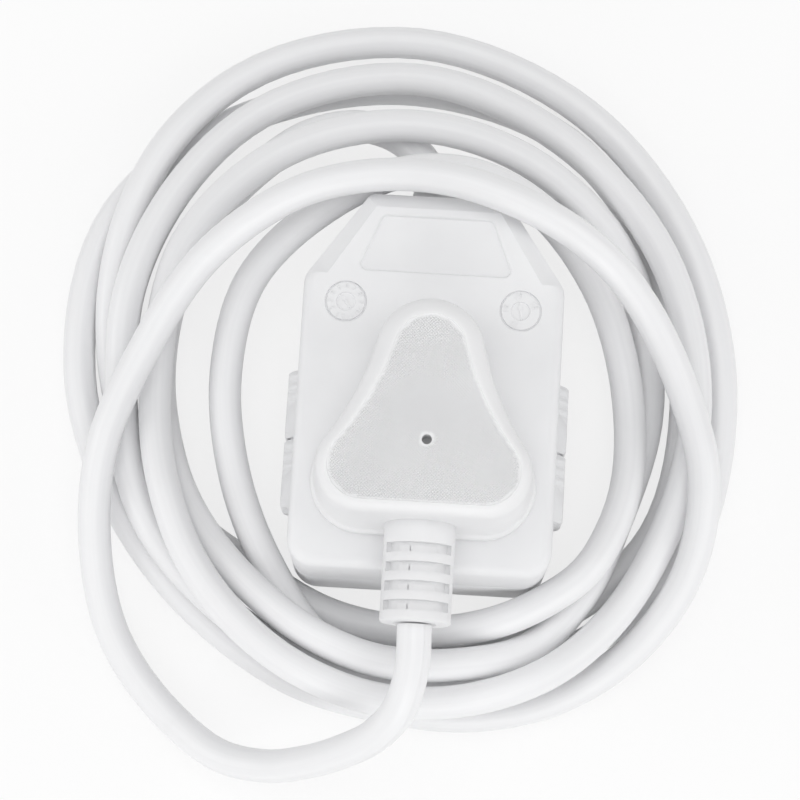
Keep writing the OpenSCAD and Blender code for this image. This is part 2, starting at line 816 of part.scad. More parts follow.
module front_shutter() color(white_pvc)
    slab(-shutter_half_w, shutter_half_w, front_shutter_y0, front_shutter_y1,
        front_shutter_z, front_shutter_z + shutter_t);

module back_shutter() color(white_pvc)
    slab(-shutter_half_w, shutter_half_w, back_shutter_y0, back_shutter_y1,
        back_shutter_z, back_shutter_z + shutter_t);

// Flat zigzag spring lying between y0 and y1
module zigzag(x, y0, y1, z) {
    pitch = (y1 - y0 - spring_wire) / spring_bends;
    reach = norm([spring_w, pitch]) + spring_wire;
    for (i = [0 : spring_bends - 1])
        translate([x, y0 + spring_wire / 2 + (i + 0.5) * pitch, z])
            rotate([0, 0, (i % 2 == 0 ? 1 : -1) * atan2(pitch, spring_w)])
                translate([-reach / 2, -spring_wire / 2, 0])
                    cube([reach, spring_wire, spring_h]);
}

module front_shutter_spring() color(steel)
    for (side = [-1, 1])
        zigzag(side * spring_x, front_shutter_y1 + 0.1, front_stop_y - 0.1, front_shutter_z + slide_gap);

module back_shutter_spring() color(steel)
    for (side = [-1, 1])
        zigzag(side * spring_x, back_stop_y + 0.1, back_shutter_y0 - 0.1, back_shutter_z + slide_gap);

// ---- Fasteners and cord end of the coupler ----

module shell_screws() color(steel)
    screw_places() {
        pillar(screw_head_d / 2, screw_sink, screw_sink + screw_head_h);
        pillar(screw_d / 2, screw_sink + screw_head_h, screw_tip_z);
    }

module cord_clamp() color(cream)
    difference() {
        slab(-clamp_half_w, clamp_half_w, clamp_y, clamp_y + clamp_w, clamp_base, clamp_base + clamp_h);
        cord_way(seat_gap);
        for (side = [-1, 1])
            translate([side * clamp_spacing / 2, clamp_y + clamp_w / 2, 0])
                pillar(clamp_screw_r + seat_gap, clamp_base - 1, clamp_base + clamp_h + 1);
    }

module clamp_screws() color(steel)
    for (side = [-1, 1])
        translate([side * clamp_spacing / 2, clamp_y + clamp_w / 2, 0]) {
            pillar(clamp_screw_r, parting_z / 2, clamp_base + clamp_h);
            pillar(clamp_screw_r + 0.7, clamp_base + clamp_h, clamp_base + clamp_h + 1.4);
        }

module coupler_cord_tail() color(white_pvc)
    translate([0, tail_y0, parting_z])
        rotate([-90, 0, 0]) cylinder(r = cord_r, h = flange_y - tail_y0);

// Core from the end of the sheath to a terminal beside the cord
module side_core(side) {
    z = parting_z - lay_low;
    end_x = pin_x - terminal_w / 2;
    end_y = terminal_y + terminal_len / 2 + 0.3;
    core([
        [side * lay_x, tail_y0, z], [side * lay_x, tail_y0 - 1.2, z],
        [side * (lay_x + 2.4), tail_y0 - 2.6, z - 0.1], [side * (lay_x + 5.4), end_y + 0.6, z - 0.2],
        [side * (end_x - 1.5), end_y, z - 0.2], [side * end_x, end_y, z - 0.2]
    ]);
}

module coupler_live_core() color(LIVE) side_core(1);

module coupler_neutral_core() color(NEUTRAL) side_core(-1);

module coupler_earth_core() color(EARTH)
    translate([0, terminal_y + terminal_len, parting_z + lay_high - 0.8])
        rotate([-90, 0, 0]) cylinder(r = core_r, h = tail_y0 - terminal_y - terminal_len);

BOOT_PATH = stretch(CORD_KNOTS, CORD_SLOPES, [for (s = CORD_STEPS) 4], 0, boot_knot);

module coupler_strain_relief() color(white_pvc) {
    last = len(BOOT_PATH) - 1;
    translate([0, flange_y, parting_z])
        rotate([-90, 0, 0]) {
            cylinder(r = flange_r, h = flange_t);
            cylinder(r = boot_r, h = half_len - flange_y + EPS);
        }
    swept_tube(BOOT_PATH, [for (i = [0 : last]) boot_r - (boot_r - boot_tip_r) * i / last], 24);
}

module cord_coupler_lead() color(white_pvc)
    cord_tube(cord_run(boot_knot, coil_start), LEAD_SIDES);

module cord_coil() color(white_pvc) {
    path = cord_run(coil_start, coil_end);
    echo(coil_least_gap = least_spacing(path, 4, 8) - cord_d);
    cord_tube(path, COIL_SIDES);
}

module cord_plug_lead() color(white_pvc)
    cord_tube(cord_run(coil_end, cord_end), LEAD_SIDES);

// ---- Plug ----

// Centre of the hollow flank that is tangent to both lobes on the +X side,
// with the earth lobe smaller by crown
function flank_centre(crown) =
    let (
        c1 = [0, earth_lobe_y],
        c2 = [pin_lobe_x, pin_lobe_y],
        d = norm(c2 - c1),
        r1 = earth_lobe_r - crown + flank_r,
        r2 = pin_lobe_r + flank_r,
        a = (d * d + r1 * r1 - r2 * r2) / (2 * d),
        h = sqrt(r1 * r1 - a * a),
        u = (c2 - c1) / d
    )
    c1 + u * a + [-u[1], u[0]] * h;

function arc(c, r, a0, a1, n) = [
    for (i = [0 : n]) c + r * [cos(a0 + (a1 - a0) * i / n), sin(a0 + (a1 - a0) * i / n)]
];

function reversed(list) = [for (i = [len(list) - 1 : -1 : 0]) list[i]];

// Right half of the bell outline, drawn in by inset, and by crown more at the earth
// lobe: pin lobe, hollow flank, earth lobe
function half_outline(inset, crown) =
    let (
        c1 = [0, earth_lobe_y],
        c2 = [pin_lobe_x, pin_lobe_y],
        flank = flank_centre(crown),
        a1 = atan2(flank[1] - c1[1], flank[0] - c1[0]),
        a2 = atan2(flank[1] - c2[1], flank[0] - c2[0]),
        hollow = arc(flank, flank_r + inset, 180 + a2, 180 + a1, FLANK_STEPS)
    )
    concat(
        arc(c2, pin_lobe_r - inset, -90, a2, LOBE_STEPS),
        [for (i = [1 : FLANK_STEPS - 1]) hollow[i]],
        arc(c1, earth_lobe_r - inset - crown, a1, 90, CROWN_STEPS)
    );

function plug_ring(inset, crown, z) =
    let (right = half_outline(inset, crown), left = reversed(right))
    concat(
        [for (q = right) [q[0], q[1], z]],
        [for (i = [1 : len(left) - 1]) [-left[i][0], left[i][1], z]]
    );

// Solid lofted through rings of equal count, the first one lowest
module loft(rings) {
    n = len(rings[0]);
    faces = concat(
        [for (i = [0 : len(rings) - 2]) for (j = [0 : n - 1])
            let (a = i * n + j, b = i * n + (j + 1) % n)
            for (f = [[a, a + n, b], [b, a + n, b + n]]) f],
        [[for (j = [0 : n - 1]) j]],
        [[for (j = [n - 1 : -1 : 0]) (len(rings) - 1) * n + j]]
    );
    polyhedron(points = [for (r = rings) for (q = r) q], faces = faces);
}

// Heights over the socket face, how far the outline is drawn in there, and the share
// of the earth lobe's further inset
PLUG_PROFILE = [
    [0, 0, 0], [rim_h - 0.6, 0, 0], [rim_h, rim_step / 2, 0], [rim_h + 0.3, rim_step, 0],
    [plug_h - 3.2, rim_step + body_draft, 0], [plug_h - 1.4, rim_step + body_draft + 0.4, 0.2],
    [plug_h - 0.4, panel_inset - 0.6, 0.7], [plug_h, panel_inset, 1]
];

// Room of the rigid bridge and the crimps: a boss round each pin, a web between them
module bridge_block(margin, z0, z1) {
    web = 1.5;
    translate([0, front_earth_y, 0]) pillar(earth_r + margin, z0, z1);
    for (side = [-1, 1])
        translate([side * pin_x, front_pin_y, 0]) pillar(pin_r + margin, z0, z1);
    translate([0, 0, z0])
        linear_extrude(z1 - z0)
            polygon([
                [0, front_earth_y + web], [pin_x + web, front_pin_y],
                [pin_x, front_pin_y - web], [-pin_x, front_pin_y - web],
                [-pin_x - web, front_pin_y]
            ]);
}

module plug_body() color(white_pvc)
    difference() {
        loft([for (q = PLUG_PROFILE) plug_ring(q[1], q[2] * crown_inset, plug_z + q[0])]);
        bridge_block(bridge_margin, bridge_z, chamber_top);
        translate([0, front_earth_y, 0]) pillar(earth_r + seat_gap, plug_z - 1, bridge_z + 1);
        for (side = [-1, 1])
            translate([side * pin_x, front_pin_y, 0])
                pillar(pin_r + seat_gap, plug_z - 1, bridge_z + 1);
        // Pocket that the strain relief is moulded into
        relief_rod(relief_r, relief_end_y, relief_y);
        // Way of the cores from the chamber to the strain relief
        slab(-core_way_w / 2, core_way_w / 2, relief_y - 1, front_pin_y,
            relief_axis - core_d, chamber_top - 0.5);
        // Gate mark in the face panel
        translate([0, front_pin_y + gate_rise, 0])
            pillar(gate_d / 2, plug_z + plug_h - 2, plug_z + plug_h + 1);
    }

module plug_bridge() color(cream)
    difference() {
        bridge_block(bridge_margin - seat_gap, bridge_z, bridge_z + bridge_h);
        translate([0, front_earth_y, 0]) pillar(earth_r + seat_gap, bridge_z - 1, pin_head_z);
        for (side = [-1, 1])
            translate([side * pin_x, front_pin_y, 0])
                pillar(pin_r + seat_gap, bridge_z - 1, pin_head_z);
    }

// Solid round pin with a bevelled tip and a collar that sits on the bridge
module pin(x, y, r, length) {
    bevel = 1.2;
    tip = plug_z - length;
    translate([x, y, 0]) {
        translate([0, 0, tip]) cylinder(r1 = r - bevel, r2 = r, h = bevel, $fn = 48);
        pillar(r, tip + bevel - EPS, pin_head_z);
        pillar(r + 1, bridge_z + bridge_h, pin_head_z);
    }
}

module plug_live_pin() color(brass) pin(pin_x, front_pin_y, pin_r, pin_len);

module plug_neutral_pin() color(brass) pin(-pin_x, front_pin_y, pin_r, pin_len);

module plug_earth_pin() color(brass) pin(0, front_earth_y, earth_r, earth_len);

module plug_crimps() color(steel)
    for (place = [[pin_x, front_pin_y], [-pin_x, front_pin_y], [0, front_earth_y]])
        slab(place[0] - crimp_w / 2, place[0] + crimp_w / 2,
            place[1] - crimp_w / 2, place[1] + crimp_w / 2,
            pin_head_z, pin_head_z + crimp_h);

module plug_side_core(side) {
    x0 = pin_x - crimp_w / 2;
    z0 = pin_head_z + crimp_h / 2;
    z1 = relief_axis - lay_low;
    core([
        [side * x0, front_pin_y, z0], [side * (x0 - 2), front_pin_y, z0],
        [side * (x0 - 4.8), front_pin_y - 0.4, z0 - 0.4],
        [side * (lay_x + 1.6), front_pin_y - 2.6, z1 + 0.3],
        [side * lay_x, relief_y + 1.4, z1], [side * lay_x, relief_y, z1]
    ]);
}

module plug_live_core() color(LIVE) plug_side_core(1);

module plug_neutral_core() color(NEUTRAL) plug_side_core(-1);

module plug_earth_core() color(EARTH)
    translate([0, relief_y, relief_axis + lay_high])
        rotate([-90, 0, 0]) cylinder(r = core_r, h = front_earth_y - crimp_w / 2 - relief_y);

module relief_rod(r, y0, y1) {
    translate([0, y0, relief_axis])
        rotate([-90, 0, 0]) cylinder(r = r, h = y1 - y0);
}

// Two blocks at the outer wall of a slot, with a thin notch between them
module bridging_blocks(y0, y1) {
    notch_x = -1.8;
    intersection() {
        relief_rod(relief_block_r, y0, y1);
        union() {
            slab(-4, notch_x - 0.15, y0, y1, relief_axis - relief_r, relief_axis + relief_r);
            slab(notch_x + 0.15, 3.8, y0, y1, relief_axis - relief_r, relief_axis + relief_r);
        }
    }
}

// Flexible relief: a round boot with two side rails and a core, crossed by slots
module plug_strain_relief() color(white_pvc)
    union() {
        difference() {
            relief_rod(relief_r, relief_end_y, relief_y);
            for (i = [0 : slot_count - 1])
                translate([0, first_slot_y - i * slot_pitch - slot_w / 2, 0])
                    difference() {
                        slab(rail_w - relief_r, relief_r - rail_w, 0, slot_w,
                            relief_axis - relief_r - 1, relief_axis + relief_r + 1);
                        relief_rod(relief_core_r, -1, slot_w + 1);
                    }
        }
        for (i = [0 : slot_count - 1])
            translate([0, first_slot_y - i * slot_pitch - slot_w / 2, 0])
                bridging_blocks(-0.2, block_len);
    }

front_shell();
back_shell();
front_contact_carrier();
back_contact_carrier();
front_live_contact();
front_neutral_contact();
front_earth_contact();
back_live_contact();
back_neutral_contact();
back_earth_contact();
live_strap();
neutral_strap();
earth_strap();
terminal_screws();
front_shutter();
back_shutter();
front_shutter_spring();
back_shutter_spring();
shell_screws();
cord_clamp();
clamp_screws();
coupler_cord_tail();
coupler_live_core();
coupler_neutral_core();
coupler_earth_core();
coupler_strain_relief();
cord_coupler_lead();
cord_coil();
cord_plug_lead();
plug_body();
plug_bridge();
plug_live_pin();
plug_neutral_pin();
plug_earth_pin();
plug_crimps();
plug_live_core();
plug_neutral_core();
plug_earth_core();
plug_strain_relief();
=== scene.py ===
# %% [markdown]
# # A coiled extension cord
#
# The object is a two-faced block coupler with a moulded three-pin plug sitting in
# its front socket. One white sheathed cord runs from the coupler's end, lies in six
# loose loops around it and climbs back into the plug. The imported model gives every
# size and place, so this lesson only adds the finer shapes, the finishes and the light.

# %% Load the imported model
import json
import math

import bmesh
import bpy
import numpy as np
from mathutils import Matrix, Vector

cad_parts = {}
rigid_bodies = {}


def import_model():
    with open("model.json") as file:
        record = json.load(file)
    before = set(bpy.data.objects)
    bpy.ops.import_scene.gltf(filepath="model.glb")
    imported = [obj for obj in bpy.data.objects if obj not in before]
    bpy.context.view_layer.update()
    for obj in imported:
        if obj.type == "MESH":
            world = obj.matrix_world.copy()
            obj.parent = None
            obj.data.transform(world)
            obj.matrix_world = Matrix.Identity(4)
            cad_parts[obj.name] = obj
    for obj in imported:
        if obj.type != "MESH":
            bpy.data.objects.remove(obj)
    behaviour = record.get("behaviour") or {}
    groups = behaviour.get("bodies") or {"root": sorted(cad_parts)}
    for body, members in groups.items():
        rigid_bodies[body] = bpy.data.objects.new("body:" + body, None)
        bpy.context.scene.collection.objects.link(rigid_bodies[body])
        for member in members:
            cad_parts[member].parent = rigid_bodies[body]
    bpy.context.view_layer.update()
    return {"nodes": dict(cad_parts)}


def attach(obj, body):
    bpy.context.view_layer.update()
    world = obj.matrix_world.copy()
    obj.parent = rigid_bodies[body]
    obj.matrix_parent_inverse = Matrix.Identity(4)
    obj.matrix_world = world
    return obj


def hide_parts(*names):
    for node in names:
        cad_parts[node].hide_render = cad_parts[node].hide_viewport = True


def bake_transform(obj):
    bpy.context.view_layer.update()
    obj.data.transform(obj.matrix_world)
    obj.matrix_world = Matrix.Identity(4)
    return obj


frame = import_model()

nodes = frame["nodes"]
MM = 0.001

# %% [markdown]
# ## Camera
#
# The cord is looked at from nearly straight above, a little from the plug's cord
# side, with a long lens. A long lens flattens the view, so the loops stay round.
# The camera is placed on a sphere round a target point by its two angles.

# %% Put the camera on its sphere
def placed(name, data):
    made = bpy.data.objects.new(name, data)
    bpy.context.scene.collection.objects.link(made)
    return made


def aimed(name, data, place, towards):
    made = placed(name, data)
    made.location, made.rotation_mode = place, "QUATERNION"
    made.rotation_quaternion = towards.to_track_quat("-Z", "Y")
    return made


def camera_above(target, azimuth, elevation, distance, lens):
    a, e = math.radians(azimuth), math.radians(elevation)
    back = Vector((math.sin(a) * math.cos(e), -math.cos(a) * math.cos(e), math.sin(e)))
    data = bpy.data.cameras.new("Camera")
    data.sensor_width, data.lens = 36, lens
    data.clip_start, data.clip_end = 0.01, 20
    camera = aimed("Camera", data, Vector(target) + back * distance, -back)
    bpy.context.scene.camera = camera
    return camera


camera = camera_above((-0.0065, 0.003, 0), azimuth=3.4, elevation=79, distance=0.62, lens=119.7)
print("camera at", [round(x, 3) for x in camera.location])

# %% [markdown]
# ## The route of the cord
#
# The cord is about 2.7 m long. Its route is a chain of way-points: a short lead out
# of the coupler, the coil as bearing, radius and height round a centre, and the lead
# up to the plug. A cubic through every way-point turns them into one smooth line, the
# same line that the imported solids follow.

# %% Way-points of the two leads, in millimetres
COUPLER_LEAD = [
    (0, 42, 20), (-0.6, 48, 19.8), (-3.2, 54.2, 19.2), (-9.5, 60.4, 18.1),
    (-19, 63.6, 16.6), (-30.5, 61.6, 14.6), (-41.5, 54, 12.4),
]
PLUG_LEAD = [
    (-42, -82, 8), (-31.5, -84, 13.5), (-22.2, -83.1, 21.8), (-13.8, -80.7, 30.3),
    (-6.7, -77.2, 39), (-2, -71.7, 46.1), (0, -63.5, 50), (0, -54.8, 50),
]
BOOT_KNOTS = 3
print("leads:", len(COUPLER_LEAD), "and", len(PLUG_LEAD), "way-points")

# %% Way-points of the coil: bearing in degrees, radius and height in millimetres
COIL_CENTRE = (-7, 4)
WINDING = [
    (60, 58, 9.6), (90, 55.3, 5.2), (105, 54.5, 8.5), (120, 55, 12.3), (150, 57.6, 18.2),
    (165, 60.8, 20.2), (180, 63.8, 19), (195, 65.6, 17.2), (210, 67, 12.9),
    (225, 63.2, 12.3), (240, 58.8, 8.4), (270, 58, 4), (285, 58.6, 5.6),
    (300, 60.2, 9), (330, 59.2, 19),
    (360, 57.5, 26.5), (390, 58, 24.5), (420, 58, 18.6), (450, 55.2, 14.6),
    (480, 58.2, 20.5), (495, 61.8, 21.4), (510, 65.5, 21.6), (525, 69.3, 22),
    (540, 72.2, 19.3), (555, 73.7, 17.7), (570, 74.1, 17.6), (585, 72.2, 13.4),
    (600, 69.8, 12.6), (630, 68.1, 12.6), (660, 68.2, 12.6), (690, 69.6, 12.6),
    (720, 73, 12.6), (750, 71.8, 13.8), (780, 66.7, 16.4), (795, 65, 15.9),
    (810, 63.4, 13.4), (840, 64.7, 11.4), (870, 65, 12.9), (885, 67, 14.5),
    (900, 68.2, 11.4), (915, 69.8, 9.4), (930, 71, 5), (945, 73, 4),
    (960, 75.8, 4), (990, 74.9, 4), (1020, 76.3, 4), (1050, 80.5, 4),
    (1080, 84.6, 4), (1110, 82.7, 9), (1125, 78.8, 12.4), (1140, 74.1, 12),
    (1155, 69.7, 8.2), (1170, 65.7, 4.6), (1185, 62.3, 4), (1200, 58.2, 4),
    (1230, 52.6, 4), (1237.5, 53.1, 4), (1245, 53.7, 4), (1260, 55, 5.2), (1275, 57.3, 10.5),
    (1290, 59.4, 17), (1297.5, 60.1, 19.4), (1305, 60.7, 21), (1320, 58.5, 17.4), (1350, 52.7, 11),
    (1380, 50.8, 15), (1410, 49.9, 25),
    (1425, 47.8, 30), (1440, 45.3, 31.5), (1470, 41, 27), (1500, 40.5, 20),
    (1530, 39.3, 15), (1560, 42, 13), (1590, 51.6, 12.7), (1605, 60, 10.4),
    (1620, 64, 4.1), (1635, 63.4, 4), (1650, 62.6, 4), (1665, 64.6, 4),
    (1680, 67.3, 4), (1710, 66.6, 4), (1740, 68, 4), (1770, 72.2, 4),
    (1800, 73, 4), (1830, 75, 4), (1845, 77.5, 4), (1860, 78.8, 4), (1890, 74, 4),
    (1920, 69, 4), (1950, 68.9, 4), (1965, 70.8, 4), (1980, 72.5, 4),
    (1995, 76.2, 4), (2010, 79.3, 4), (2025, 80.2, 8.5), (2040, 78.2, 14.5),
    (2055, 72.2, 21), (2070, 64.3, 22.8), (2100, 52.8, 33), (2130, 43, 44.3),
    (2145, 41.6, 44), (2160, 41.5, 42.2), (2190, 43.8, 39.2), (2220, 49, 33),
    (2250, 58.2, 24.8), (2265, 67.2, 20.8), (2280, 76.8, 12.2), (2295, 86, 5),
    (2310, 91.2, 4.6),
]
print("coil:", round((WINDING[-1][0] - WINDING[0][0]) / 360, 2), "turns")

# %% Turn bearings into points and draw the smooth line through all of them
CORD_D = 7.4


def winding_point(bearing, radius, height):
    b = math.radians(bearing)
    return (COIL_CENTRE[0] - radius * math.sin(b), COIL_CENTRE[1] + radius * math.cos(b), height)


def smooth_line(knots, steps):
    k = np.array(knots, float)
    gap = np.linalg.norm(np.diff(k, axis=0), axis=1)
    chord = np.diff(k, axis=0) / gap[:, None]
    slope = np.zeros_like(k)
    slope[0], slope[-1] = chord[0], chord[-1]
    share = (gap[:-1] / (gap[:-1] + gap[1:]))[:, None]
    slope[1:-1] = chord[1:] * share + chord[:-1] * (1 - share)
    line = []
    for i in range(len(k) - 1):
        for s in np.arange(steps) / steps:
            line.append(
                k[i] * (2 * s**3 - 3 * s**2 + 1) + slope[i] * gap[i] * (s**3 - 2 * s**2 + s)
                + k[i + 1] * (3 * s**2 - 2 * s**3) + slope[i + 1] * gap[i] * (s**3 - s**2)
            )
    line.append(k[-1])
    return np.array(line)


STEPS = 8
knots = COUPLER_LEAD + [winding_point(*w) for w in WINDING] + PLUG_LEAD
route = smooth_line(knots, STEPS)
boot_ring = (BOOT_KNOTS - 1) * STEPS
join_ring = (len(COUPLER_LEAD) + len(WINDING) - 1) * STEPS
route_length = np.linalg.norm(np.diff(route, axis=0), axis=1).sum() * MM
print("route:", len(route), "points,", round(route_length, 3), "m")

# %% [markdown]
# ## Pieces and where they live
#
# Every finished piece is one mesh object at the world origin, with its place in its
# vertices. Shapes are worked out in millimetres, because that is how such a part is
# drawn, and turned into metres once, when the mesh is made.

# %% Make a piece from points and faces
def piece_from(name, points, faces):
    mesh = bpy.data.meshes.new(name)
    mesh.from_pydata([tuple(float(x) * MM for x in p) for p in points], [], faces)
    mesh.validate()
    return placed(name, mesh)


def outward(piece):
    bm = bmesh.new()
    bm.from_mesh(piece.data)
    bmesh.ops.recalc_face_normals(bm, faces=bm.faces)
    if bm.calc_volume(signed=True) < 0:
        bmesh.ops.reverse_faces(bm, faces=bm.faces)
    bm.to_mesh(piece.data)
    bm.free()
    return piece


# %% Bake whatever modifiers a piece has into a plain mesh
def baked(piece, name=None):
    graph = bpy.context.evaluated_depsgraph_get()
    mesh = bpy.data.meshes.new_from_object(
        piece.evaluated_get(graph), preserve_all_data_layers=True, depsgraph=graph
    )
    final, name = placed("baked", mesh), name or piece.name
    bpy.data.objects.remove(piece)
    final.name = mesh.name = name
    return final


# %% [markdown]
# ## Finishes
#
# Moulded plastic is never one flat colour. Up close it has a fine spark-eroded grain
# that breaks up the shine, and from further off it is very slightly cloudy. Both come
# from noise on Object coordinates, so they stay put on every piece. Values that are
# the same all over sit on the shader's own sockets.

# %% Two helpers for every node tree: make a node, and link nodes
def node(tree, kind, values=None, **settings):
    made = tree.nodes.new(kind)
    for key, value in settings.items():
        setattr(made, key, value)
    for socket, value in (values or {}).items():
        made.inputs[socket].default_value = value
    return made


def wire(tree, *links):
    for source, output, target, socket in links:
        tree.links.new(source.outputs[output], target.inputs[socket])


# %% Start a material and read its coordinates
def start_material(name, **sockets):
    material = bpy.data.materials.new(name)
    material.use_nodes = True
    tree = material.node_tree
    shader = tree.nodes["Principled BSDF"]
    for socket, value in sockets.items():
        shader.inputs[socket.replace("_", " ")].default_value = value
    return material, tree, shader


def noise(tree, scale, detail, stretch=(1, 1, 1)):
    place = node(tree, "ShaderNodeTexCoord")
    mapping = node(tree, "ShaderNodeMapping", {"Scale": stretch})
    texture = node(tree, "ShaderNodeTexNoise", {"Scale": scale, "Detail": detail})
    wire(tree, (place, "Object", mapping, "Vector"), (mapping, "Vector", texture, "Vector"))
    return texture.outputs["Fac"]


# %% Three ways for a pattern to reach the shader
RAMP_STOPS = (0.35, 0.65)


def tint(tree, shader, factor, dark, light):
    ramp = node(tree, "ShaderNodeValToRGB")
    for stop, place, colour in zip(ramp.color_ramp.elements, RAMP_STOPS, (dark, light)):
        stop.position, stop.color = place, (*colour, 1)
    tree.links.new(factor, ramp.inputs["Fac"])
    wire(tree, (ramp, "Color", shader, "Base Color"))


def vary_roughness(tree, shader, factor, low, high):
    spread = node(tree, "ShaderNodeMapRange",
                  {"From Min": 0.3, "From Max": 0.7, "To Min": low, "To Max": high})
    tree.links.new(factor, spread.inputs["Value"])
    wire(tree, (spread, "Result", shader, "Roughness"))


def relief(tree, shader, height, depth, before=None):
    bump = node(tree, "ShaderNodeBump", {"Distance": depth})
    tree.links.new(height, bump.inputs["Height"])
    if before is not None:
        wire(tree, (before, "Normal", bump, "Normal"))
    wire(tree, (bump, "Normal", shader, "Normal"))
    return bump


# %% [markdown]
# ### Moulded whites
#
# The coupler is a hard, slightly cool white with a satin mould grain. The plug and the
# strain reliefs are soft vinyl: a little warmer, with light creeping into the surface.

# %% Hard and soft moulded plastic
def moulded(name, dark, light, rough, grain, softness=0.0):
    material, tree, shader = start_material(
        name, Subsurface_Weight=softness, IOR=1.5, Subsurface_Radius=(0.004, 0.004, 0.004),
        Subsurface_Scale=1.0)
    tint(tree, shader, noise(tree, 45, 3), dark, light)
    vary_roughness(tree, shader, noise(tree, 160, 3), rough - 0.05, rough + 0.07)
    first = relief(tree, shader, noise(tree, 2600, 2), grain)
    relief(tree, shader, noise(tree, 240, 2, stretch=(1, 1, 0.4)), grain * 2, first)
    return material


shell_finish = moulded(
    "shell_satin_white", (0.825, 0.827, 0.838), (0.86, 0.862, 0.87), 0.42, 1.6e-5)
plug_finish = moulded(
    "plug_soft_white", (0.825, 0.826, 0.834), (0.86, 0.861, 0.868), 0.4, 1.2e-5, 0.08)
relief_finish = moulded(
    "relief_soft_white", (0.8, 0.801, 0.81), (0.84, 0.841, 0.848), 0.5, 2e-5, 0.08)
shutter_finish = moulded("shutter_white", (0.7, 0.7, 0.7), (0.74, 0.74, 0.74), 0.5, 1.5e-5)
carrier_finish = moulded("carrier_cream", (0.7, 0.65, 0.54), (0.76, 0.71, 0.6), 0.5, 2e-5)
print("moulded finishes:", shell_finish.name, plug_finish.name, relief_finish.name)

# %% [markdown]
# ### The cord's sheath
#
# The sheath is extruded, so its marks run along the cord: a faint die line on one side
# and long, slow streaks. They have to follow the cord round every loop, so they read
# two attributes that the tube carries, the distance along it and the turn around it.

# %% Sheath finish from the tube's own attributes
def sheath():
    material, tree, shader = start_material(
        "sheath_white_vinyl", IOR=1.5, Subsurface_Weight=0.06,
        Subsurface_Radius=(0.003, 0.003, 0.003), Subsurface_Scale=1.0)
    along, around = (node(tree, "ShaderNodeAttribute", attribute_name=name)
                     for name in ("along", "around"))
    wrap = node(tree, "ShaderNodeCombineXYZ")
    streak_map = node(tree, "ShaderNodeMapping", {"Scale": (6, 14, 1)})
    streaks = node(tree, "ShaderNodeTexNoise", {"Scale": 1.0, "Detail": 3})
    line = node(tree, "ShaderNodeMath", {1: 0.5, 2: 0.012}, operation="COMPARE")
    wire(tree, (along, "Fac", wrap, "X"), (around, "Fac", wrap, "Y"),
         (wrap, "Vector", streak_map, "Vector"), (streak_map, "Vector", streaks, "Vector"),
         (around, "Fac", line, 0))
    tint(tree, shader, streaks.outputs["Fac"], (0.85, 0.851, 0.862), (0.885, 0.886, 0.894))
    vary_roughness(tree, shader, noise(tree, 120, 3), 0.34, 0.46)
    first = relief(tree, shader, line.outputs["Value"], 6e-5)
    first = relief(tree, shader, streaks.outputs["Fac"], 4e-5, first)
    relief(tree, shader, noise(tree, 3000, 2), 8e-6, first)
    return material


sheath_finish = sheath()
print("sheath finish:", sheath_finish.name)

# %% [markdown]
# ### Metals and insulation
#
# The pins are drawn brass rod with fine turning lines, the straps and contacts are
# stamped brass, the screws are zinc plated. The cores keep the colours of their trade.

# %% Brass, zinc and the coloured cores
def metal(name, dark, light, rough, stretch):
    material, tree, shader = start_material(name, Metallic=1.0)
    tint(tree, shader, noise(tree, 90, 4), dark, light)
    vary_roughness(tree, shader, noise(tree, 300, 3), rough - 0.06, rough + 0.1)
    relief(tree, shader, noise(tree, 900, 2, stretch=stretch), 1.2e-5)
    return material


brass_finish = metal("pin_brass", (0.66, 0.47, 0.2), (0.78, 0.6, 0.3), 0.28, (0.2, 0.2, 4))
strip_finish = metal("strip_brass", (0.62, 0.45, 0.19), (0.74, 0.57, 0.28), 0.34, (4, 0.2, 1))
zinc_finish = metal("screw_zinc", (0.5, 0.5, 0.52), (0.64, 0.64, 0.66), 0.36, (1, 1, 3))
core_finishes = {
    "live": moulded("core_brown", (0.16, 0.07, 0.035), (0.21, 0.1, 0.05), 0.45, 8e-6),
    "neutral": moulded("core_blue", (0.03, 0.1, 0.36), (0.05, 0.14, 0.45), 0.45, 8e-6),
    "earth": moulded("core_green", (0.05, 0.25, 0.05), (0.45, 0.42, 0.05), 0.45, 8e-6),
}
print("metals and cores ready:", 3 + len(core_finishes))

# %% [markdown]
# ## The sheathed cord
#
# A tube that follows a path is the plainest use of Geometry Nodes: sweep a circle along
# the route. The tree keeps the distance along the route and the turn around the circle
# as attributes for the finish. Diameter and sides are inputs, so they can be changed.

# %% Begin and end a node tree that makes a mesh
def new_tree(name, **inputs):
    tree = bpy.data.node_groups.new(name, "GeometryNodeTree")
    for title, kind in {"Geometry": "Geometry", **inputs}.items():
        tree.interface.new_socket(title, in_out="INPUT", socket_type="NodeSocket" + kind)
    tree.interface.new_socket("Geometry", in_out="OUTPUT", socket_type="NodeSocketGeometry")
    return tree, node(tree, "NodeGroupInput")


def end_tree(tree, given, last, output):
    real = node(tree, "GeometryNodeRealizeInstances")
    paint = node(tree, "GeometryNodeSetMaterial")
    result = node(tree, "NodeGroupOutput")
    wire(tree, (last, output, real, "Geometry"), (real, "Geometry", paint, "Geometry"),
         (given, "Finish", paint, "Material"), (paint, "Geometry", result, "Geometry"))
    return tree


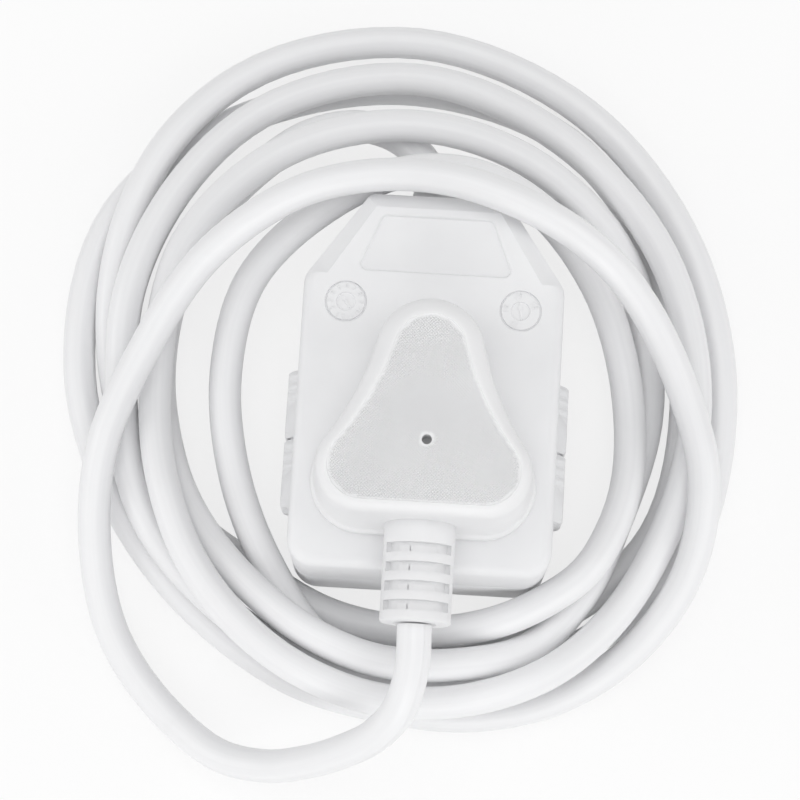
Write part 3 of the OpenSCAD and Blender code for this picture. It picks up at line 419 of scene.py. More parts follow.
# %% A node tree that sweeps a round sheath along a curve
def sheath_tree():
    tree, given = new_tree("Sheath along a route", Diameter="Float", Sides="Int",
                           Finish="Material")
    parameter = node(tree, "GeometryNodeSplineParameter")
    along, around = (node(tree, "GeometryNodeStoreNamedAttribute", {"Name": name},
                          data_type="FLOAT", domain="POINT") for name in ("along", "around"))
    half = node(tree, "ShaderNodeMath", {1: 2}, operation="DIVIDE")
    circle = node(tree, "GeometryNodeCurvePrimitiveCircle")
    sweep = node(tree, "GeometryNodeCurveToMesh", {"Fill Caps": True})
    smooth = node(tree, "GeometryNodeSetShadeSmooth")
    wire(tree, (given, "Geometry", along, "Geometry"), (parameter, "Length", along, "Value"),
         (given, "Diameter", half, 0), (half, "Value", circle, "Radius"),
         (given, "Sides", circle, "Resolution"), (circle, "Curve", around, "Geometry"),
         (parameter, "Factor", around, "Value"), (along, "Geometry", sweep, "Curve"),
         (around, "Geometry", sweep, "Profile Curve"), (sweep, "Mesh", smooth, "Geometry"))
    return end_tree(tree, given, smooth, "Geometry")


# %% Run a tree on an object, with its inputs set by identifier, and bake it
def grown(piece, tree, values, name):
    modifier = piece.modifiers.new("grow", "NODES")
    modifier.node_group = tree
    for socket in tree.interface.items_tree:
        if socket.in_out == "INPUT" and socket.name in values:
            modifier[socket.identifier] = values[socket.name]
    return baked(piece, name)


def line_object(name, points):
    data = bpy.data.curves.new(name, "CURVE")
    data.dimensions = "3D"
    spline = data.splines.new("POLY")
    spline.points.add(len(points) - 1)
    for place, point in zip(spline.points, points):
        place.co = (*[float(x) * MM for x in point], 1)
    return placed(name, data)


SIDES = 28
whole_cord = grown(
    line_object("cord_route", route[boot_ring:]), sheath_tree(),
    {"Diameter": CORD_D * MM, "Sides": SIDES, "Finish": sheath_finish}, "whole_cord",
)
print("whole cord:", len(whole_cord.data.vertices), "points")

# %% [markdown]
# The plug can be pulled out of the coupler, and its lead then follows it while the coil
# stays on the ground. So the one tube is cut into two at a ring, where the coil ends.
# Both cut ends share the same ring, so the cut doesn't show.

# %% Cut the tube at a ring and close both ends
def cord_part(whole, name, first, last):
    mesh = whole.data.copy()
    bm = bmesh.new()
    bm.from_mesh(mesh)
    bm.verts.ensure_lookup_table()
    gone = [v for v in bm.verts if not first * SIDES <= v.index < (last + 1) * SIDES]
    bmesh.ops.delete(bm, geom=gone, context="VERTS")
    bmesh.ops.holes_fill(bm, edges=[e for e in bm.edges if e.is_boundary], sides=0)
    for edge in {e for f in bm.faces if len(f.verts) > 4 for e in f.edges}:
        edge.smooth = False
    bmesh.ops.recalc_face_normals(bm, faces=bm.faces)
    bm.to_mesh(mesh)
    bm.free()
    mesh.name = name
    print(name, "rings", first, "to", last)
    return placed(name, mesh)


line = route[boot_ring:]
join = join_ring - boot_ring
coil_cord = cord_part(whole_cord, "coil_cord", 0, join)
plug_cord = cord_part(whole_cord, "plug_cord", join, len(line) - 1)
bpy.data.objects.remove(whole_cord)

# %% [markdown]
# ## Coupler strain relief
#
# Where the cord leaves the coupler, a soft boot keeps it from kinking. It is a tube
# that tapers along the route, with shallow ribs that let it flex. Each ring stands
# square to the route, and its radius says where the ribs are.

# %% Sweep rings of any radius along a line, and skin any stack of rings
def rings_along(line, radii, sides):
    line, rings = np.array(line, float), []
    turn = np.arange(sides) * 2 * math.pi / sides
    for i, (place, radius) in enumerate(zip(line, radii)):
        ahead = line[min(i + 1, len(line) - 1)] - line[max(i - 1, 0)]
        ahead = ahead / np.linalg.norm(ahead)
        across = np.cross(ahead, (0, 0, 1))
        across = across / np.linalg.norm(across)
        over = np.cross(across, ahead)
        ring = np.outer(np.cos(turn), across) + np.outer(np.sin(turn), over)
        rings.append(place + radius * ring)
    return rings


def solid(name, rings):
    n, last = len(rings[0]), (len(rings) - 1) * len(rings[0])
    faces = [(i * n + j, i * n + (j + 1) % n, (i + 1) * n + (j + 1) % n, (i + 1) * n + j)
             for i in range(len(rings) - 1) for j in range(n)]
    faces += [tuple(range(n))[::-1], tuple(range(last, last + n))]
    return outward(piece_from(name, [p for ring in rings for p in ring], faces))


# %% The tapered and ribbed boot
def dressed(piece, finish, sharp_from):
    piece.data.shade_smooth()
    piece.data.set_sharp_from_angle(angle=math.radians(sharp_from))
    piece.data.materials.clear()
    piece.data.materials.append(finish)
    return piece


PARTING = 20.0
FLANGE_Y, FLANGE_R, FLANGE_T = 37.1, 8.5, 2.2
BOOT_R, BOOT_TIP_R, BOOT_STEPS = 6.5, 5.0, 24
BOOT_RIBS, BOOT_RIB_DEEP = 5, 0.35


def boot():
    line = smooth_line(COUPLER_LEAD, BOOT_STEPS)[: (BOOT_KNOTS - 1) * BOOT_STEPS + 1]
    share = np.linspace(0, 1, len(line))
    wave = 0.5 + 0.5 * np.cos(share * 2 * math.pi * BOOT_RIBS)
    ribs = BOOT_RIB_DEEP * wave * (share > 0.12) * (share < 0.9)
    radii = BOOT_R - (BOOT_R - BOOT_TIP_R) * share - ribs
    tip = np.sqrt(np.clip(1 - ((share - 0.94) / 0.06).clip(0) ** 2 * 0.5, 0, 1))
    end = FLANGE_Y + FLANGE_T
    flange = [(0, y, PARTING) for y in (FLANGE_Y, FLANGE_Y + 0.3, end - 0.3, end, end + 0.4)]
    radius = [FLANGE_R - 0.3, FLANGE_R, FLANGE_R, FLANGE_R - 0.3, BOOT_R] + list(radii * tip)
    piece = solid("coupler_boot", rings_along(flange + list(line), radius, 40))
    return dressed(piece, relief_finish, 40)


coupler_boot = boot()
print("boot:", len(coupler_boot.data.polygons), "faces")

# %% [markdown]
# ## Cutting and joining solids
#
# Holes, recesses and slots are easiest as they are on a real mould: a plain solid
# minus another solid. Blender's exact boolean does that. Every cutter is a closed mesh
# of its own, removed after use.

# %% One helper for every boolean, and the two plainest solids
def combine(piece, others, operation="DIFFERENCE"):
    for other in others:
        modifier = piece.modifiers.new("cut", "BOOLEAN")
        modifier.operation, modifier.solver = operation, "EXACT"
        modifier.object = other
    finished = baked(piece)
    for other in others:
        bpy.data.objects.remove(other)
    return finished


def rod(name, x, y, spans, sides=64):
    turn = [2 * math.pi * i / sides for i in range(sides)]
    return solid(name, [[(x + r * math.cos(t), y + r * math.sin(t), z) for t in turn]
                        for r, z in spans])


SQUARE = [(-1, -1), (1, -1), (1, 1), (-1, 1)]


def block_of(name, x0, x1, y0, y1, z0, z1):
    return solid(name, [[(x0, y0, z), (x1, y0, z), (x1, y1, z), (x0, y1, z)] for z in (z0, z1)])


# %% [markdown]
# ## Coupler shells
#
# Seen from above the block is a rectangle whose cord end tapers. Its outline is four
# wide and two narrow corner arcs with straight walls between them. Drawing the same
# arcs with smaller radii gives the outline further up the rounded edge, so the shell is
# a stack of outlines: no corner ever pinches.

# %% The outline of the coupler, drawn in by any distance
HALF_W, HALF_L, SHOULDER_Y, HALF_NARROW = 28.75, 42.0, 22.5, 16.5
WIDE_R, NARROW_R, EDGE_R = 6.0, 2.9, 2.5


def arc(centre, radius, start, end, steps):
    turn = np.radians(np.linspace(start, end, steps + 1))
    return [(centre[0] + radius * math.cos(t), centre[1] + radius * math.sin(t)) for t in turn]


def coupler_outline(inset):
    low = (HALF_W - WIDE_R, WIDE_R - HALF_L)
    high = (HALF_W - WIDE_R, SHOULDER_Y - 2)
    end = (HALF_NARROW - NARROW_R, HALF_L - NARROW_R)
    run = (end[0] - high[0], end[1] - high[1])
    lean = math.acos((WIDE_R - NARROW_R) / math.hypot(*run))
    slant = math.degrees(math.atan2(run[1], run[0]) - lean)
    right = (
        arc(low, WIDE_R - inset, -90, 0, 10) + arc(high, WIDE_R - inset, 0, slant, 6)
        + arc(end, NARROW_R - inset, slant, 90, 8)
    )
    return right + [(-x, y) for x, y in reversed(right)]


print("outline:", len(coupler_outline(0)), "points")

# %% Stack the outlines into a solid half shell
def half_block(name, face_z):
    up = 1 if face_z > PARTING else -1
    rings = [(0.25, PARTING), (0.06, PARTING + up * 0.14), (0, PARTING + up * 0.35)]
    for k in range(9):
        a = math.radians(90 * k / 8)
        rings.append((EDGE_R - EDGE_R * math.cos(a), face_z - up * EDGE_R * (1 - math.sin(a))))
    return solid(name, [[(x, y, z) for x, y in coupler_outline(inset)] for inset, z in rings])


# %% The hollow inside
SIDE_WALL, FACE_WALL = 2.5, 3.0


def hollow(z0, z1):
    x, y0, y1 = HALF_W - SIDE_WALL, SIDE_WALL - HALF_L, HALF_L - SIDE_WALL
    nx = HALF_NARROW - SIDE_WALL - 1
    plan = [(-x, y0 + 3), (-x + 3, y0), (x - 3, y0), (x, y0 + 3), (x, SHOULDER_Y - 3),
            (nx, y1), (-nx, y1), (-x, SHOULDER_Y - 3)]
    return solid("hollow", [[(a, b, z) for a, b in plan] for z in (z0, z1)])


# %% [markdown]
# ### Side grips
#
# Two pads on each side give the fingers a hold. Near the cord side each pad has three
# soft pillows across it, then it runs smooth. The pillows repeat, so a node tree sets
# them out: one is instanced along a line, and its count and step are inputs.

# %% A node tree that sets copies of a piece out along a line
def row_tree():
    tree, given = new_tree("Row of copies", Count="Int", Step="Vector", Finish="Material")
    row = node(tree, "GeometryNodeMeshLine", mode="OFFSET")
    copies = node(tree, "GeometryNodeInstanceOnPoints")
    wire(tree, (given, "Count", row, "Count"), (given, "Step", row, "Offset"),
         (row, "Mesh", copies, "Points"), (given, "Geometry", copies, "Instance"))
    return end_tree(tree, given, copies, "Instances")


row_of_copies = row_tree()
GRIP_LEN, GRIP_OUT, GRIP_H, GRIP_TOP_Y = 15.6, 2.6, 9.0, 3.2
RIB_PITCH, RIB_COUNT, RIB_DEPTH = 2.25, 3, 0.9


# %% One grip pad with its pillows, on one side of one shell
def swept_profile(name, profile, y0, y1, chamfer):
    inner = [(x - chamfer, z) if x > HALF_W + 1 else (x, z) for x, z in profile]
    stations = ((y0, inner), (y0 + chamfer, profile), (y1 - chamfer, profile), (y1, inner))
    return solid(name, [[(x, y, z) for x, z in section] for y, section in stations])


def pillow(name, low, high, y0, y1):
    rings = []
    for i in range(9):
        rise = math.sin(math.pi * i / 8)
        rings.append([(a + (c - a) * rise, y0 + (y1 - y0) * i / 8, b + (d - b) * rise)
                      for (a, b), (c, d) in zip(low, high)])
    return solid(name, rings)


def pad_section(out, drop, up):
    wall, top = HALF_W, GRIP_H - drop
    return [(wall - 1, PARTING), (out, PARTING), (out, PARTING + up * (top - 3)),
            (out - 0.4, PARTING + up * (top - 2.1)), (wall + 0.4, PARTING + up * top),
            (wall - 1, PARTING + up * top)]


def on_side(piece, side):
    if side < 0:
        piece.data.transform(Matrix.Scale(-1, 4, (1, 0, 0)))
    return outward(piece)


def grip_pad(side, y1, up):
    out, first = HALF_W + GRIP_OUT, y1 - 0.5 - RIB_PITCH
    pad = swept_profile("pad", pad_section(out, RIB_DEPTH, up), y1 - GRIP_LEN + 0.3, y1 - 0.2, 0.5)
    tail = swept_profile("tail", pad_section(out, 0.3, up), y1 - GRIP_LEN + 0.1,
                         y1 - 0.4 - RIB_COUNT * RIB_PITCH, 1.5)
    rib = pillow("rib", pad_section(out - 0.05, RIB_DEPTH + 0.2, up),
                 pad_section(out - 0.05, 0, up), first + 0.06, first + RIB_PITCH - 0.06)
    ribs = grown(rib, row_of_copies, {"Count": RIB_COUNT, "Step": (0, -RIB_PITCH * MM, 0),
                                      "Finish": shell_finish}, "ribs")
    return on_side(combine(pad, [tail, ribs], "UNION"), side)


def grips(up):
    return [grip_pad(side, GRIP_TOP_Y - i * GRIP_LEN, up) for side in (-1, 1) for i in (0, 1)]


# %% [markdown]
# ### Front face
#
# The front face carries the land with a bare nameplate recess, two date dials, three
# pin holes and the three slopes that fall away from the land, at both sides and at its
# end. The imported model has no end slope. Each is one cutter, a little wider at the
# surface, so that every rim gets a soft edge that catches the light.

# %% Cutters for the holes, the recess and the slopes
TOP = 40.0
PIN_X, HOLE_R, EARTH_HOLE_R = 12.7, 3.85, 4.675
FRONT_EARTH_Y, FRONT_PIN_Y = 3.0, -25.6
BACK_EARTH_Y, BACK_PIN_Y = -15.0, 13.6
LAND_END, SLOPE_FALL, SLOPE_W = 38.5, 2.6, 4.2
RECESS_GAP, RECESS_LEN, RECESS_DEPTH, RECESS_R = 5.2, 13.0, 0.6, 1.6
RECESS_WIDE, RECESS_NARROW = 17.5, 12.25


def pin_hole_cutters(earth_y, pin_y, face_z, inner_z):
    up = 1 if face_z > inner_z else -1

    def hole(x, y, r):
        return rod("hole", x, y, [(r, inner_z - up), (r, face_z - up * 0.35),
                                  (r + 0.4, face_z), (r + 0.4, face_z + up)])

    return [hole(0, earth_y, EARTH_HOLE_R), hole(-PIN_X, pin_y, HOLE_R), hole(PIN_X, pin_y, HOLE_R)]


def rounded_plan(corners, radius, inset):
    plan, n = [], len(corners)
    for i in range(n):
        here, before, after = (Vector(corners[k % n]) for k in (i, i - 1, i + 1))
        a, b = (before - here).normalized(), (after - here).normalized()
        half = a.angle(b) / 2
        centre = here + (a + b).normalized() * (radius / math.sin(half))
        start = math.atan2(a.x, -a.y)
        sweep = math.pi - 2 * half
        plan += [(centre.x + (radius - inset) * math.cos(start + sweep * k / 8),
                  centre.y + (radius - inset) * math.sin(start + sweep * k / 8))
                 for k in range(9)]
    return plan


def recess_cutter():
    y1, floor_z = HALF_L - RECESS_GAP, TOP - RECESS_DEPTH
    y0 = y1 - RECESS_LEN
    corners = [(-RECESS_WIDE, y0), (RECESS_WIDE, y0), (RECESS_NARROW, y1), (-RECESS_NARROW, y1)]
    layers = [(0.55, floor_z), (0.35, floor_z + 0.06), (0.12, TOP - 0.12), (-0.1, TOP),
              (-0.1, TOP + 1)]
    return solid("recess", [[(x, y, z) for x, y in rounded_plan(corners, RECESS_R, inset)]
                            for inset, z in layers])


def slope_cutter(side):
    over = 1.0
    run = math.hypot(HALF_L - SHOULDER_Y, HALF_W - HALF_NARROW) + 4
    start = Vector((HALF_W, SHOULDER_Y, 0))
    ahead = Vector((HALF_NARROW - HALF_W, HALF_L - SHOULDER_Y, 0)).normalized()
    inward = Vector((-ahead.y, ahead.x, 0))
    section = [(SLOPE_W, 0), (-over, -SLOPE_FALL * (SLOPE_W + over) / SLOPE_W), (-over, 1),
               (SLOPE_W, 1)]
    rings = [[tuple(start + ahead * (distance - 0.2) + inward * w + Vector((0, 0, TOP + h)))
              for w, h in section] for distance in (0, run)]
    keep = block_of("keep", 0, 60, SHOULDER_Y + 0.3, 60, 0, 60)
    return on_side(combine(solid("slope", rings), [keep], "INTERSECT"), side)


def end_slope_cutter():
    y0, y1 = LAND_END, HALF_L + 1
    drop = SLOPE_FALL * (y1 - y0) / (HALF_L - y0)
    section = [(y0, TOP), (y1, TOP - drop), (y1, TOP + 1), (y0, TOP + 1)]
    return solid("end_slope", [[(x, y, z) for y, z in section] for x in (-30, 30)])


# %% [markdown]
# ### Date dials
#
# Moulders set two little dials into a tool to mark the month and the year. Each is a
# round groove, a shallow disc with an arrow in it, and plain raised numbers between
# the two. The numbers are text turned into a thin mesh.

# %% Grooves, arrows and numbers of the dials
DIAL_R, DIAL_X, DIAL_Y = 4.6, 19.2, 16.6
GROOVE_W, GROOVE_DEEP, DISC_R, DISC_DEEP = 0.4, 0.45, 2.0, 0.35


def dial_cutters(x):
    r_in, floor_z = DIAL_R - GROOVE_W, TOP - GROOVE_DEEP
    outer = rod("ring", x, DIAL_Y, [(DIAL_R - 0.08, floor_z), (DIAL_R + 0.05, TOP),
                                    (DIAL_R + 0.05, TOP + 1)])
    inner = rod("core", x, DIAL_Y, [(r_in + 0.08, floor_z - 1), (r_in + 0.08, floor_z),
                                    (r_in - 0.05, TOP), (r_in - 0.05, TOP + 2)])
    disc = rod("disc", x, DIAL_Y, [(DISC_R, TOP - DISC_DEEP), (DISC_R + 0.15, TOP),
                                   (DISC_R + 0.15, TOP + 1)])
    return [combine(outer, [inner]), disc]


def numbers_round(x, radius, size, texts):
    marks = []
    for text, degrees in texts:
        a = math.radians(degrees)
        place = Vector((x + radius * math.cos(a), DIAL_Y + radius * math.sin(a), TOP)) * MM
        data = bpy.data.curves.new("number", "FONT")
        data.body, data.size, data.extrude = text, size * MM, 0.0002
        data.align_x, data.align_y, data.resolution_u = "CENTER", "CENTER", 3
        mark = baked(placed("number", data))
        mark.data.transform(
            Matrix.Translation(place) @ Matrix.Rotation(a - math.pi / 2, 4, "Z"))
        marks.append(mark)
    return marks


def arrow(x, length, degrees):
    plan = [(-0.22, -length), (0.22, -length), (0.22, length * 0.3), (0.62, length * 0.3),
            (0, length), (-0.62, length * 0.3), (-0.22, length * 0.3)]
    turn, base = math.radians(degrees), TOP - DISC_DEEP
    c, s = math.cos(turn), math.sin(turn)
    return solid("arrow", [
        [(x + k * (a * c - b * s), DIAL_Y + k * (a * s + b * c), z) for a, b in plan]
        for k, z in ((1, base - 0.1), (1, base + 0.16), (0.9, base + 0.24))])


def dial_marks():
    months = [(str(i + 1), 240 - 30 * i) for i in range(12)]
    years = [("16", 175), ("17", 250), ("18", 25), ("19", 100)]
    numbers = numbers_round(-DIAL_X, 3.5, 1.8, months) + numbers_round(DIAL_X, 3.3, 2.0, years)
    return numbers + [arrow(-DIAL_X, 1.7, 35), arrow(DIAL_X, 1.9, 10)]


# %% Join loose meshes into one piece
def joined(name, parts):
    bm = bmesh.new()
    for part in parts:
        bm.from_mesh(part.data)
        bpy.data.objects.remove(part)
    mesh = bpy.data.meshes.new(name)
    bm.to_mesh(mesh)
    bm.free()
    return placed(name, mesh)


# %% What both shells hold: the boot's hole, screw posts, shutter guides and a stop
SCREW_X, SCREW_Y = 22.7, (-31.5, 16.0)
POST_R, SCREW_HOLE_R, BOOT_HOLE = 3.3, 1.23, 6.53
GUIDE_X, GUIDE_HALF, GUIDE_Y, GUIDE_H, STOP_X = 18.15, 0.85, (-33, 19.2), 2.2, 17.31
SINK = 0.01


def boot_hole_cutter():
    spans = [(36, BOOT_HOLE), (41.6, BOOT_HOLE), (42.2, BOOT_HOLE + 0.4), (44, BOOT_HOLE + 0.4)]
    path = [(0, y, PARTING) for y, _ in spans]
    return solid("boot_hole", rings_along(path, [r for _, r in spans], 64))


def at_screws(name, spans, sides=64):
    return [rod(name, side * SCREW_X, y, spans, sides) for side in (-1, 1) for y in SCREW_Y]


def inner_parts(z0, z1, guide_z, stop_y):
    posts = at_screws("post", [(POST_R, z0), (POST_R, z1)])
    guides = [block_of("guide", side * GUIDE_X - GUIDE_HALF, side * GUIDE_X + GUIDE_HALF,
                       *GUIDE_Y, *guide_z) for side in (-1, 1)]
    return posts + guides + [block_of("stop", -STOP_X, STOP_X, *stop_y, *guide_z)]


# %% Front shell: solid, hollow, grips, face cutters
def front_shell():
    shell, ceiling = half_block("coupler_front", TOP), TOP - FACE_WALL
    shell = combine(shell, [hollow(PARTING - 1, ceiling), boot_hole_cutter()])
    guide_z = (ceiling - GUIDE_H, ceiling + SINK)
    inner = inner_parts(PARTING, ceiling + SINK, guide_z, (9, 10.2))
    shell = combine(shell, grips(1) + inner, "UNION")
    ways = at_screws("way", [(SCREW_HOLE_R, PARTING - 1), (SCREW_HOLE_R, PARTING + 12)], 32)
    slopes = [slope_cutter(-1), slope_cutter(1), end_slope_cutter()]
    shell = combine(shell, pin_hole_cutters(FRONT_EARTH_Y, FRONT_PIN_Y, TOP, ceiling) + ways
                    + [recess_cutter()] + slopes + dial_cutters(-DIAL_X) + dial_cutters(DIAL_X))
    return dressed(joined("coupler_front", [shell] + dial_marks()), shell_finish, 28)


coupler_front = front_shell()
print("front shell:", len(coupler_front.data.polygons), "faces")

# %% [markdown]
# ### Back shell
#
# The back is the second socket, turned end for end, with four deep screw heads. It
# lies on the ground, so it only shows from below or when the coupler is picked up.

# %% Back shell from the same cutters
CLAMP_X, CLAMP_Y, CLAMP_POST_R, BED_R = 7.5, 34.8, 2.4, 3.73
SCREW_WELL = [(2.75, -1), (2.75, 0), (2.2, 0.45), (2.2, 5), (SCREW_HOLE_R, 5), (SCREW_HOLE_R, 21)]


def at_clamp(name, spans):
    return [rod(name, side * CLAMP_X, CLAMP_Y, spans, 32) for side in (-1, 1)]


def back_shell():
    shell, root = half_block("coupler_back", 0.0), FACE_WALL - SINK
    shell = combine(shell, [hollow(FACE_WALL, PARTING + 1), boot_hole_cutter()])
    inner = inner_parts(root, PARTING, (root, FACE_WALL + GUIDE_H), (-4.2, -3))
    cradle = block_of("cradle", -4.7, 4.7, CLAMP_Y - 2, CLAMP_Y + 2, root, PARTING)
    clamp_posts = at_clamp("clamp_post", [(CLAMP_POST_R, root), (CLAMP_POST_R, 21)])
    shell = combine(shell, grips(-1) + inner + [cradle] + clamp_posts, "UNION")
    ways = at_screws("way", SCREW_WELL, 40)
    ways += at_clamp("way", [(SCREW_HOLE_R, 9), (SCREW_HOLE_R, 22)])
    bed = [(0, 31, PARTING), (0, 37.05, PARTING)]
    ways.append(solid("bed", rings_along(bed, [BED_R, BED_R], 48)))
    shell = combine(shell, pin_hole_cutters(BACK_EARTH_Y, BACK_PIN_Y, 0.0, FACE_WALL) + ways)
    return dressed(shell, shell_finish, 28)


coupler_back = back_shell()
print("back shell:", len(coupler_back.data.polygons), "faces")

# %% [markdown]
# ## Plug body
#
# The plug is a soft bell with three lobes. Its outline is made of arcs that touch: one
# round the earth pin, two round the other pins, and a long hollow flank between them.
# A stack of such outlines rises from the rim, steps in, leans inwards and rounds over
# to the flat panel on top.

# %% The bell outline, drawn in by any distance
LOBE_TOP, LOBE_TOP_R = (0.0, 1.9), 13.1
LOBE_SIDE, LOBE_SIDE_R = (12.9, -23.2), 11.5
FLANK_R, CROWN_INSET = 60.0, 1.4


def flank_centre(crown):
    c1, c2 = Vector(LOBE_TOP), Vector(LOBE_SIDE)
    gap = (c2 - c1).length
    r1, r2 = LOBE_TOP_R - crown + FLANK_R, LOBE_SIDE_R + FLANK_R
    a = (gap * gap + r1 * r1 - r2 * r2) / (2 * gap)
    u = (c2 - c1) / gap
    return c1 + u * a + Vector((-u.y, u.x)) * math.sqrt(r1 * r1 - a * a)


def bell(inset, crown=0.0):
    flank = flank_centre(crown)
    a1, a2 = (math.degrees(math.atan2(flank.y - y, flank.x - x)) for x, y in (LOBE_TOP, LOBE_SIDE))
    right = (
        arc(LOBE_SIDE, LOBE_SIDE_R - inset, -90, a2, 26)[:-1]
        + arc(flank, FLANK_R + inset, 180 + a2, 180 + a1, 16)[:-1]
        + arc(LOBE_TOP, LOBE_TOP_R - inset - crown, a1, 90, 18)
    )
    floor = [(x, right[0][1]) for x in np.linspace(-LOBE_SIDE[0], LOBE_SIDE[0], 14)[1:-1]]
    return right + [(-x, y) for x, y in reversed(right[:-1])] + floor


print("bell outline:", len(bell(0)), "points")

# %% The stack of bell outlines
BELL_H, PANEL_INSET = 24.0, 3.7
BELL_PROFILE = [
    (0.35, 0, 0.0), (0.0, 0, 0.35), (0.0, 0, 2.3), (0.12, 0, 2.62), (0.35, 0, 2.85), (0.6, 0, 2.98),
    (0.78, 0, 3.2), (0.83, 0, 3.6), (0.9, 0, 5.5), (1.12, 0, 11), (1.38, 0, 16.5), (1.53, 0, 19.6),
    (1.6, 0, 20.8), (1.76, 0.08, 21.8), (2.02, 0.2, 22.6), (2.5, 0.45, 23.25), (3.02, 0.7, 23.68),
    (3.4, 0.88, 23.9), (PANEL_INSET, 1, BELL_H),
]


def bell_stack(name, profile):
    return solid(name, [[(x, y, TOP + z) for x, y in bell(inset, crown * CROWN_INSET)]
                        for inset, crown, z in profile])


# %% [markdown]
# ### The hatched panel
#
# The panel on top is cut with fine crossed grooves, which leave rows of tiny pyramids.
# There are thousands, so a node tree sets them out: a grid of points turned by 45
# degrees, thinned to those that a ray finds above the panel, each with one pyramid.
# Round the small gate mark whole pyramids are taken away, so no half ones are left.

# %% A node tree that covers a flat outline with pyramids
HATCH_TURN = (0, 0, math.radians(45))


def hatch_tree():
    tree, given = new_tree("Hatched panel", Width="Float", Count="Int", Centre="Vector",
                           Pyramid="Object", Finish="Material")
    grid = node(tree, "GeometryNodeMeshGrid")
    place = node(tree, "GeometryNodeTransform", {"Rotation": HATCH_TURN})
    ray = node(tree, "GeometryNodeRaycast", {"Ray Direction": (0, 0, -1), "Ray Length": 0.01})
    missed = node(tree, "FunctionNodeBooleanMath", operation="NOT")
    keep = node(tree, "GeometryNodeDeleteGeometry", domain="POINT")
    pyramid = node(tree, "GeometryNodeObjectInfo", transform_space="ORIGINAL")
    copies = node(tree, "GeometryNodeInstanceOnPoints", {"Rotation": HATCH_TURN})
    wire(tree, (given, "Width", grid, "Size X"), (given, "Width", grid, "Size Y"),
         (given, "Count", grid, "Vertices X"), (given, "Count", grid, "Vertices Y"),
         (grid, "Mesh", place, "Geometry"), (given, "Centre", place, "Translation"),
         (given, "Geometry", ray, "Target Geometry"), (place, "Geometry", keep, "Geometry"),
         (ray, "Is Hit", missed, 0), (missed, "Boolean", keep, "Selection"),
         (given, "Pyramid", pyramid, "Object"), (keep, "Geometry", copies, "Points"),
         (pyramid, "Geometry", copies, "Instance"))
    return end_tree(tree, given, copies, "Instances")


# %% The panel's own recess and its pyramids
HATCH_PITCH, HATCH_DEEP, HATCH_TIP, HATCH_COUNT, HATCH_LIFT = 0.5, 0.2, 0.13, 120, 1
GATE, GATE_CLEAR = (0.3, -17.3), 1.65


def hatch():
    floor_z = TOP + BELL_H - HATCH_DEEP
    edge = [(x, y, floor_z) for x, y in bell(PANEL_INSET + 0.9, CROWN_INSET)]
    target = piece_from("panel_target", edge, [tuple(range(len(edge)))])
    pyramid = solid("pyramid", [[(x * r, y * r, z) for x, y in SQUARE]
                                for r, z in ((HATCH_PITCH / 2, 0), (HATCH_TIP, HATCH_DEEP))])
    made = grown(target, hatch_tree(), {
        "Width": HATCH_PITCH * (HATCH_COUNT - 1) * MM, "Count": HATCH_COUNT, "Pyramid": pyramid,
        "Centre": (0, -0.011, (floor_z + HATCH_LIFT) * MM), "Finish": plug_finish}, "hatch")
    made.data.transform(Matrix.Translation((0, 0, -HATCH_LIFT * MM)))
    bpy.data.objects.remove(pyramid)
    bm = bmesh.new()
    bm.from_mesh(made.data)
    bm.verts.ensure_lookup_table()
    cleared = []
    for i in range(0, len(bm.verts), 8):
        centre = sum((v.co for v in bm.verts[i:i + 8]), Vector()) / 8
        if math.dist(centre[:2], (GATE[0] * MM, GATE[1] * MM)) < GATE_CLEAR * MM:
            cleared += bm.verts[i:i + 8]
    bmesh.ops.delete(bm, geom=cleared, context="VERTS")
    bm.to_mesh(made.data)
    bm.free()
    return made


# %% Plug body: bell, panel recess and gate hole
def plug_body():
    rim = PANEL_INSET + 0.35
    panel = bell_stack("panel", [
        (PANEL_INSET + 0.5, 1, BELL_H - HATCH_DEEP), (rim, 1, BELL_H), (rim, 1, BELL_H + 1)])
    gate = rod("gate", *GATE, [(1.0, 59), (1.05, 63.6), (1.25, 64), (1.25, 66)], 32)
    body = combine(bell_stack("plug_shell", BELL_PROFILE), [panel, gate])
    return dressed(joined("plug_shell", [body, hatch()]), plug_finish, 24)


plug_shell = plug_body()
print("plug body:", len(plug_shell.data.polygons), "faces")

# %% [markdown]
# ## Plug strain relief
#
# The relief is a round boot cut across by four slots. Two rails at the sides and a
# core in the middle hold the bands together, each slot ends in a floor, and in it two
# small blocks bridge the core. Turning a profile about the cord's axis gives the boot,
# slot cutters open it, and a small bevel softens every edge as the mould does.

# %% Turned boot with slots, core and bridging blocks
RELIEF_Z, RELIEF_R, RELIEF_Y, RELIEF_SIDES = 50.0, 7.6, -31.5, 72
SLOT_COUNT, SLOT_W, SLOT_PITCH, FIRST_SLOT = 4, 2.1, 4.05, -39.0
RAIL_W, CORE_R, BLOCK_R, BLOCK_LEN, SLOT_FLOOR = 0.8, 6.4, 7.2, 1.2, 2.6
BLOCK_SPANS, BEVEL_W = ((-4, -1.95), (-1.65, 3.8)), 0.16


def turned(name, profile):
    turn = np.arange(RELIEF_SIDES) * 2 * math.pi / RELIEF_SIDES
    return solid(name, [[(r * math.cos(t), y, RELIEF_Z + r * math.sin(t)) for t in turn]
                        for y, r in profile])


def slot_cutter(y0, y1):
    x, low, high = RELIEF_R - RAIL_W, RELIEF_Z - SLOT_FLOOR, RELIEF_Z + SLOT_FLOOR
    opening = block_of("opening", -x, x, y0, y1, RELIEF_Z - 9, RELIEF_Z + 9)
    core = turned("core", [(y1 + 1, CORE_R), (y0 - 1, CORE_R)])
    return combine(opening, [core, block_of("slot_floor", -9, 9, y0 - 1, y1 + 1, low, high)])


